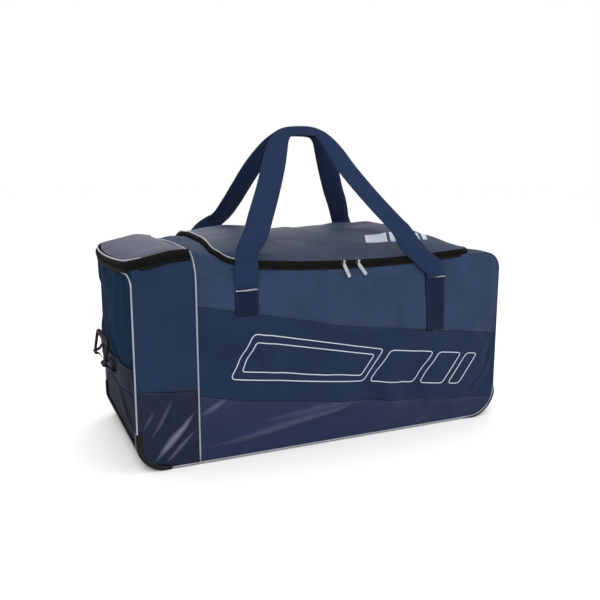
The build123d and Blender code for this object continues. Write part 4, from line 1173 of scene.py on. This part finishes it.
# Seam stitching: a row of thread on each side of the seams that join the side cloths, and one round the
# webbing band on the pocket end.
rows = []
for way in (-1, 1):
    for seam, x_low, x_high in (
        (UPPER_SEAM, XP + 0.006, X1 - 0.004),
        (LOWER_SEAM, XP + 0.006, 0.408),
        (POCKET_SEAM, X0 + 0.005, XP - 0.006),
    ):
        for off in (0.0035, -0.0035):
            x = np.arange(x_low, x_high, 0.002)
            z = np.interp(x, *zip(*seam)) + off
            y = way * (HALF + relief(way, x, z) + 0.0001)
            rows.append(stitches("row", np.stack([x, y, z], -1), (0, way, 0), 0.0036, 0.0026, 0.00032))
for z in (BAND_FOOT + 0.003, BAND_TOP - 0.003):
    y = np.linspace(-0.182, 0.182, 180)
    rows.append(stitches("row", end_wall(y, z + 0.006 * (1 - (y / END_HALF) ** 2), 0.0028), (-1, 0, 0)))
place(joined(rows, "seam_stitching"), navy_thread, "navy_fabric", "shell")


# Motif: a row of four leaning rounded bars, each an outline printed in silver on the middle cloth and
# shorter than the last, and a small solid set of four such bars on the lid.
MOTIF_LOW = ((-0.235, 0.168), (0.018, 0.133), (0.350, 0.087))
MOTIF_HIGH = ((-0.195, 0.258), (0.018, 0.206), (0.373, 0.157))
LEAN = 0.62
BAR = 0.08  # a bar's height before it is laid between the lines


def bar_outline(x, wide, inset, corner):
    """A leaning bar with round corners between the two slanting lines, as (x, z): drawn upright as a
    rectangle of its width and of height BAR, then sheared and laid between the lines."""
    low, high = inset, BAR - inset
    w, h = wide - inset - corner, high - corner
    shape = np.concatenate([turn((w, h), 90, 0, corner, 7), turn((w, low + corner), 0, -90, corner, 7),
                            turn((inset + corner, low + corner), -90, -180, corner, 7),
                            turn((inset + corner, h), 180, 90, corner, 7)])
    shape = np.concatenate([shape, shape[:1]])
    across = x + shape[:, 0] + LEAN * shape[:, 1]
    foot, head = np.interp(across, *zip(*MOTIF_LOW)), np.interp(across, *zip(*MOTIF_HIGH))
    return np.stack([across, foot + (head - foot) * shape[:, 1] / BAR], -1)


PRINT = 0.0011
silver_ink = Finish("silver_ink", Specular_IOR_Level=0.5)
flake = silver_ink.noise(silver_ink.spot(), 500.0, 2.0)
silver_ink.give(Base_Color=silver_ink.blend(flake, (0.30, 0.34, 0.42, 1), (0.55, 0.60, 0.70, 1)),
                Roughness=0.32 + flake * 0.2)
section = np.array([(-PRINT, 0.0), (-PRINT * 0.8, 0.0004), (PRINT * 0.8, 0.0004), (PRINT, 0.0), (0.0, -0.0004)])
BARS = ((-0.236, 0.300, (0.0, 0.014)), (0.080, 0.110, (0.0,)), (0.206, 0.060, (0.0,)), (0.282, 0.030, (0.0,)))
for side, way in (("front", -1), ("back", 1)):
    lines = []
    for x, wide, insets in BARS:
        for inset in insets:
            shape = bar_outline(x, wide, inset, 0.008 - inset * 0.2)
            dense = evenly(np.stack([shape[:, 0], 0 * shape[:, 0], shape[:, 1]], -1), 0.002)
            dense[:, 1] = way * (HALF + relief(way, dense[:, 0], dense[:, 2]) + 0.0001)
            lines.append(carried("line", dense, section, (0, way, 0)))
    place(joined(lines, f"{side}_motif"), silver_ink.material, "piping", "shell")
bars = []
for x, wide in ((0.108, 0.056), (0.172, 0.044), (0.224, 0.026), (0.258, 0.012)):
    share, up = np.meshgrid(np.linspace(0, 1, 14), np.linspace(0, 1, 8))
    y = -0.118 + 0.050 * up
    px = x + wide * share + 0.024 * up
    bars.append(skin("bar", np.stack([px, y, lid_height(px, y) + 0.0003], -1), (0.05, 0, 0.2)))
place(thicken(joined(bars, "lid_motif"), 0.0004), silver_ink.material, "piping", "main_lid")


# Moulded guards and running gear: the skid, the chassis plate and the wells are black polypropylene with
# a light spark texture, and the wheels are rubber tyres on grey hubs, turning on steel axles.
def repaint(finish, *nodes):
    """Give CAD nodes a finish of their own."""
    for node in nodes:
        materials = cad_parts[node].data.materials
        materials.clear()
        materials.append(finish)


def moulding(name, dark, light, rough, pits_scale=650.0):
    """Injection-moulded plastic: a spark-eroded grain, with scuffs that are paler and duller."""
    f = Finish(name, Specular_IOR_Level=0.16)
    spot = f.spot()
    pits = f.noise(spot, pits_scale, 3.0)
    scuffs = ((f.noise(spot, 24.0, 6.0, 0.65) - 0.52) * 5.0).share()
    f.give(Base_Color=f.blend(scuffs * 0.6 + pits * 0.2, dark, light), Roughness=scuffs * 0.18 + rough,
           Normal=f.bump(pits, 0.00035, 0.7))
    return f.material


black_moulding = moulding("black_moulding", (0.0025, 0.0025, 0.003, 1), (0.016, 0.016, 0.017, 1), 0.45)
hub_moulding = moulding("hub_moulding", (0.035, 0.036, 0.040, 1), (0.10, 0.10, 0.11, 1), 0.38)
repaint(black_moulding, "end_skid", "wheel_chassis")
repaint(hub_moulding, "front_wheel_hub", "back_wheel_hub")
rubber = moulding("tyre_rubber", (0.010, 0.010, 0.010, 1), (0.055, 0.053, 0.050, 1), 0.68, 300.0)
repaint(rubber, "front_wheel_tyre", "back_wheel_tyre")

guards = []
left = np.concatenate([line((X0, 0.084), (X0, BASE + LEFT_CORNER), 8),
                       turn((X0 + LEFT_CORNER, BASE + LEFT_CORNER), 180, 270, LEFT_CORNER, 30)[1:],
                       line((X0 + LEFT_CORNER, BASE), (-0.354, BASE), 4)[1:]])
right = np.concatenate([line((0.337, BASE), (X1 - RIGHT_CORNER, BASE), 4)[:-1],
                        turn((X1 - RIGHT_CORNER, BASE + RIGHT_CORNER), -90, 0, RIGHT_CORNER, 30)])
for way in (-1, 1):
    lip = np.array([(-1, -0.4), (-0.7, 1), (0.7, 1), (1, -0.4), (0.5, -1), (-0.5, -1)])
    for name, edge, into, wide in (("left_lip", left, 0.0022, 0.0046), ("right_lip", right, -0.0016, 0.0020)):
        ahead = np.gradient(edge, axis=0)
        ahead = ahead / np.linalg.norm(ahead, axis=1)[:, None]
        edge = edge + np.stack([-ahead[:, 1], ahead[:, 0]], -1) * into
        swell = np.clip(np.sin(np.linspace(0.02, pi - 0.02, len(edge))) * 3, 0.25, 1)[:, None, None]
        path = np.stack([edge[:, 0], np.full(len(edge), way * (HALF + 0.0016)), edge[:, 1]], -1)
        guards.append(carried(name, path, lip * (wide, 0.0022) * swell, (0, way, 0)))
place(joined(guards, "guard_lips"), black_moulding, "black_plastic", "shell")


def metal(name, colour, rough):
    """Plated metal: fine scratches along one way and dull spots where the plating has worn."""
    f = Finish(name, Metallic=1.0)
    spot = f.spot()
    stretched = f.node("Mapping", {}, {"Vector": spot, "Scale": (90.0, 90.0, 1400.0)})
    scratches = f.noise(stretched, 1.0, 3.0)
    dull = f.noise(spot, 130.0, 4.0)
    f.give(Base_Color=f.blend(dull, shade(colour, 0.7), shade(colour, 1.25)),
           Roughness=scratches * 0.2 + dull * 0.12 + rough,
           Normal=f.bump(scratches, 0.0001, 0.5))
    return f.material


zinc = metal("zinc_steel", (0.48, 0.49, 0.50), 0.22)
repaint(zinc, "front_axle", "back_axle", "chassis_screws")
gunmetal = metal("gunmetal", (0.10, 0.092, 0.08), 0.20)
repaint(gunmetal, "main_slider_left", "main_slider_right", "pocket_slider")


# Pulls: soft coated tabs, pale grey with fine ribs across them. Each hangs from its slider's eye.
for node in ("main_pull_left", "main_pull_right", "pocket_pull"):
    f = Finish(f"{node}_coat", Specular_IOR_Level=0.45)
    grain = f.noise(f.spot(), 700.0, 2.0)
    ridge = (f.split(f.spot())[2] * (2 * pi / 0.0024)).sine() * 0.5 + 0.5
    f.give(Base_Color=f.blend(grain * 0.6 + ridge * 0.2, (0.22, 0.23, 0.25, 1), (0.42, 0.44, 0.47, 1)),
           Roughness=0.42 + grain * 0.15, Normal=f.bump(ridge * 0.6 + grain * 0.3, 0.0003, 0.7))
    repaint(f.material, node)


# Haul handle: a moulded bail that stands up beside the pocket end, its bar held in two folded straps
# sewn to the band, with a ribbed rubber grip along the top.
HAUL_X, HAUL_Z, HAUL_TOP = -0.4575, 0.190, 0.234
HAUL_HALF, GRIP_X = 0.071, -0.4500
corner = 0.010
edge = HAUL_HALF - corner
loop_plan = np.concatenate([turn((y, z), start, start + 90, corner, 9) for y, z, start in (
    (edge, HAUL_Z + corner, -90), (edge, HAUL_TOP - corner, 0),
    (-edge, HAUL_TOP - corner, 90), (-edge, HAUL_Z + corner, 180),
)])
up_share = (loop_plan[:, 1] - HAUL_Z) / (HAUL_TOP - HAUL_Z)
loop_path = np.stack([HAUL_X + (GRIP_X - HAUL_X) * up_share, *loop_plan.T], -1)
upright = np.clip((loop_plan[:, 1] - HAUL_Z - 0.002) / 0.012, 0, 1)[:, None, None]
section = ring(0.0030, 12)[None] * (1 + upright * np.array([0.35, 0.1]))
bail = carried("haul_bail", loop_path, section, (1, 0, 0))
place(bail, black_moulding, "black_plastic", "haul", "haul_handle")
count, sleeve = 150, 0.060
run = line((GRIP_X, -sleeve, HAUL_TOP), (GRIP_X, sleeve, HAUL_TOP), count)
swell = 0.0050 + 0.0005 * np.sin(np.linspace(0, 12 * 2 * pi, count)) ** 3
swell = swell * np.clip(np.sin(np.linspace(0.12, pi - 0.12, count)) * 4, 0.6, 1)
grip_sleeve = carried("haul_grip", run, ring(1.0, 20)[None] * swell[:, None, None], (0, 0, 1))
place(grip_sleeve, rubber, "black_plastic", "haul")
ANCHOR_Y = 0.055
anchors = []
for way in (-1, 1):
    around = turn((HAUL_X, HAUL_Z), 50, 310, 0.0046, 22)
    back_x = float(end_wall(np.array(way * ANCHOR_Y), np.array(0.18), 0.0025)[0])
    profile = np.concatenate([line((back_x, HAUL_Z + 0.016), (HAUL_X + 0.006, HAUL_Z + 0.0045), 8)[:-1], around,
                              line((HAUL_X + 0.006, HAUL_Z - 0.0045), (back_x, HAUL_Z - 0.020), 8)[1:]])
    across, x = np.meshgrid(np.linspace(-0.009, 0.009, 9), profile[:, 0])
    z = np.broadcast_to(profile[:, 1:], across.shape)
    rows = np.stack([x, way * ANCHOR_Y + across, z], -1)
    anchors.append(skin("anchor", rows, (HAUL_X, way * ANCHOR_Y, HAUL_Z)))
anchor_pair = joined(anchors, "haul_anchor_straps")
place(thicken(anchor_pair, 0.0015, 0.0), dark_strap, "black_webbing", "shell", "haul_anchors")
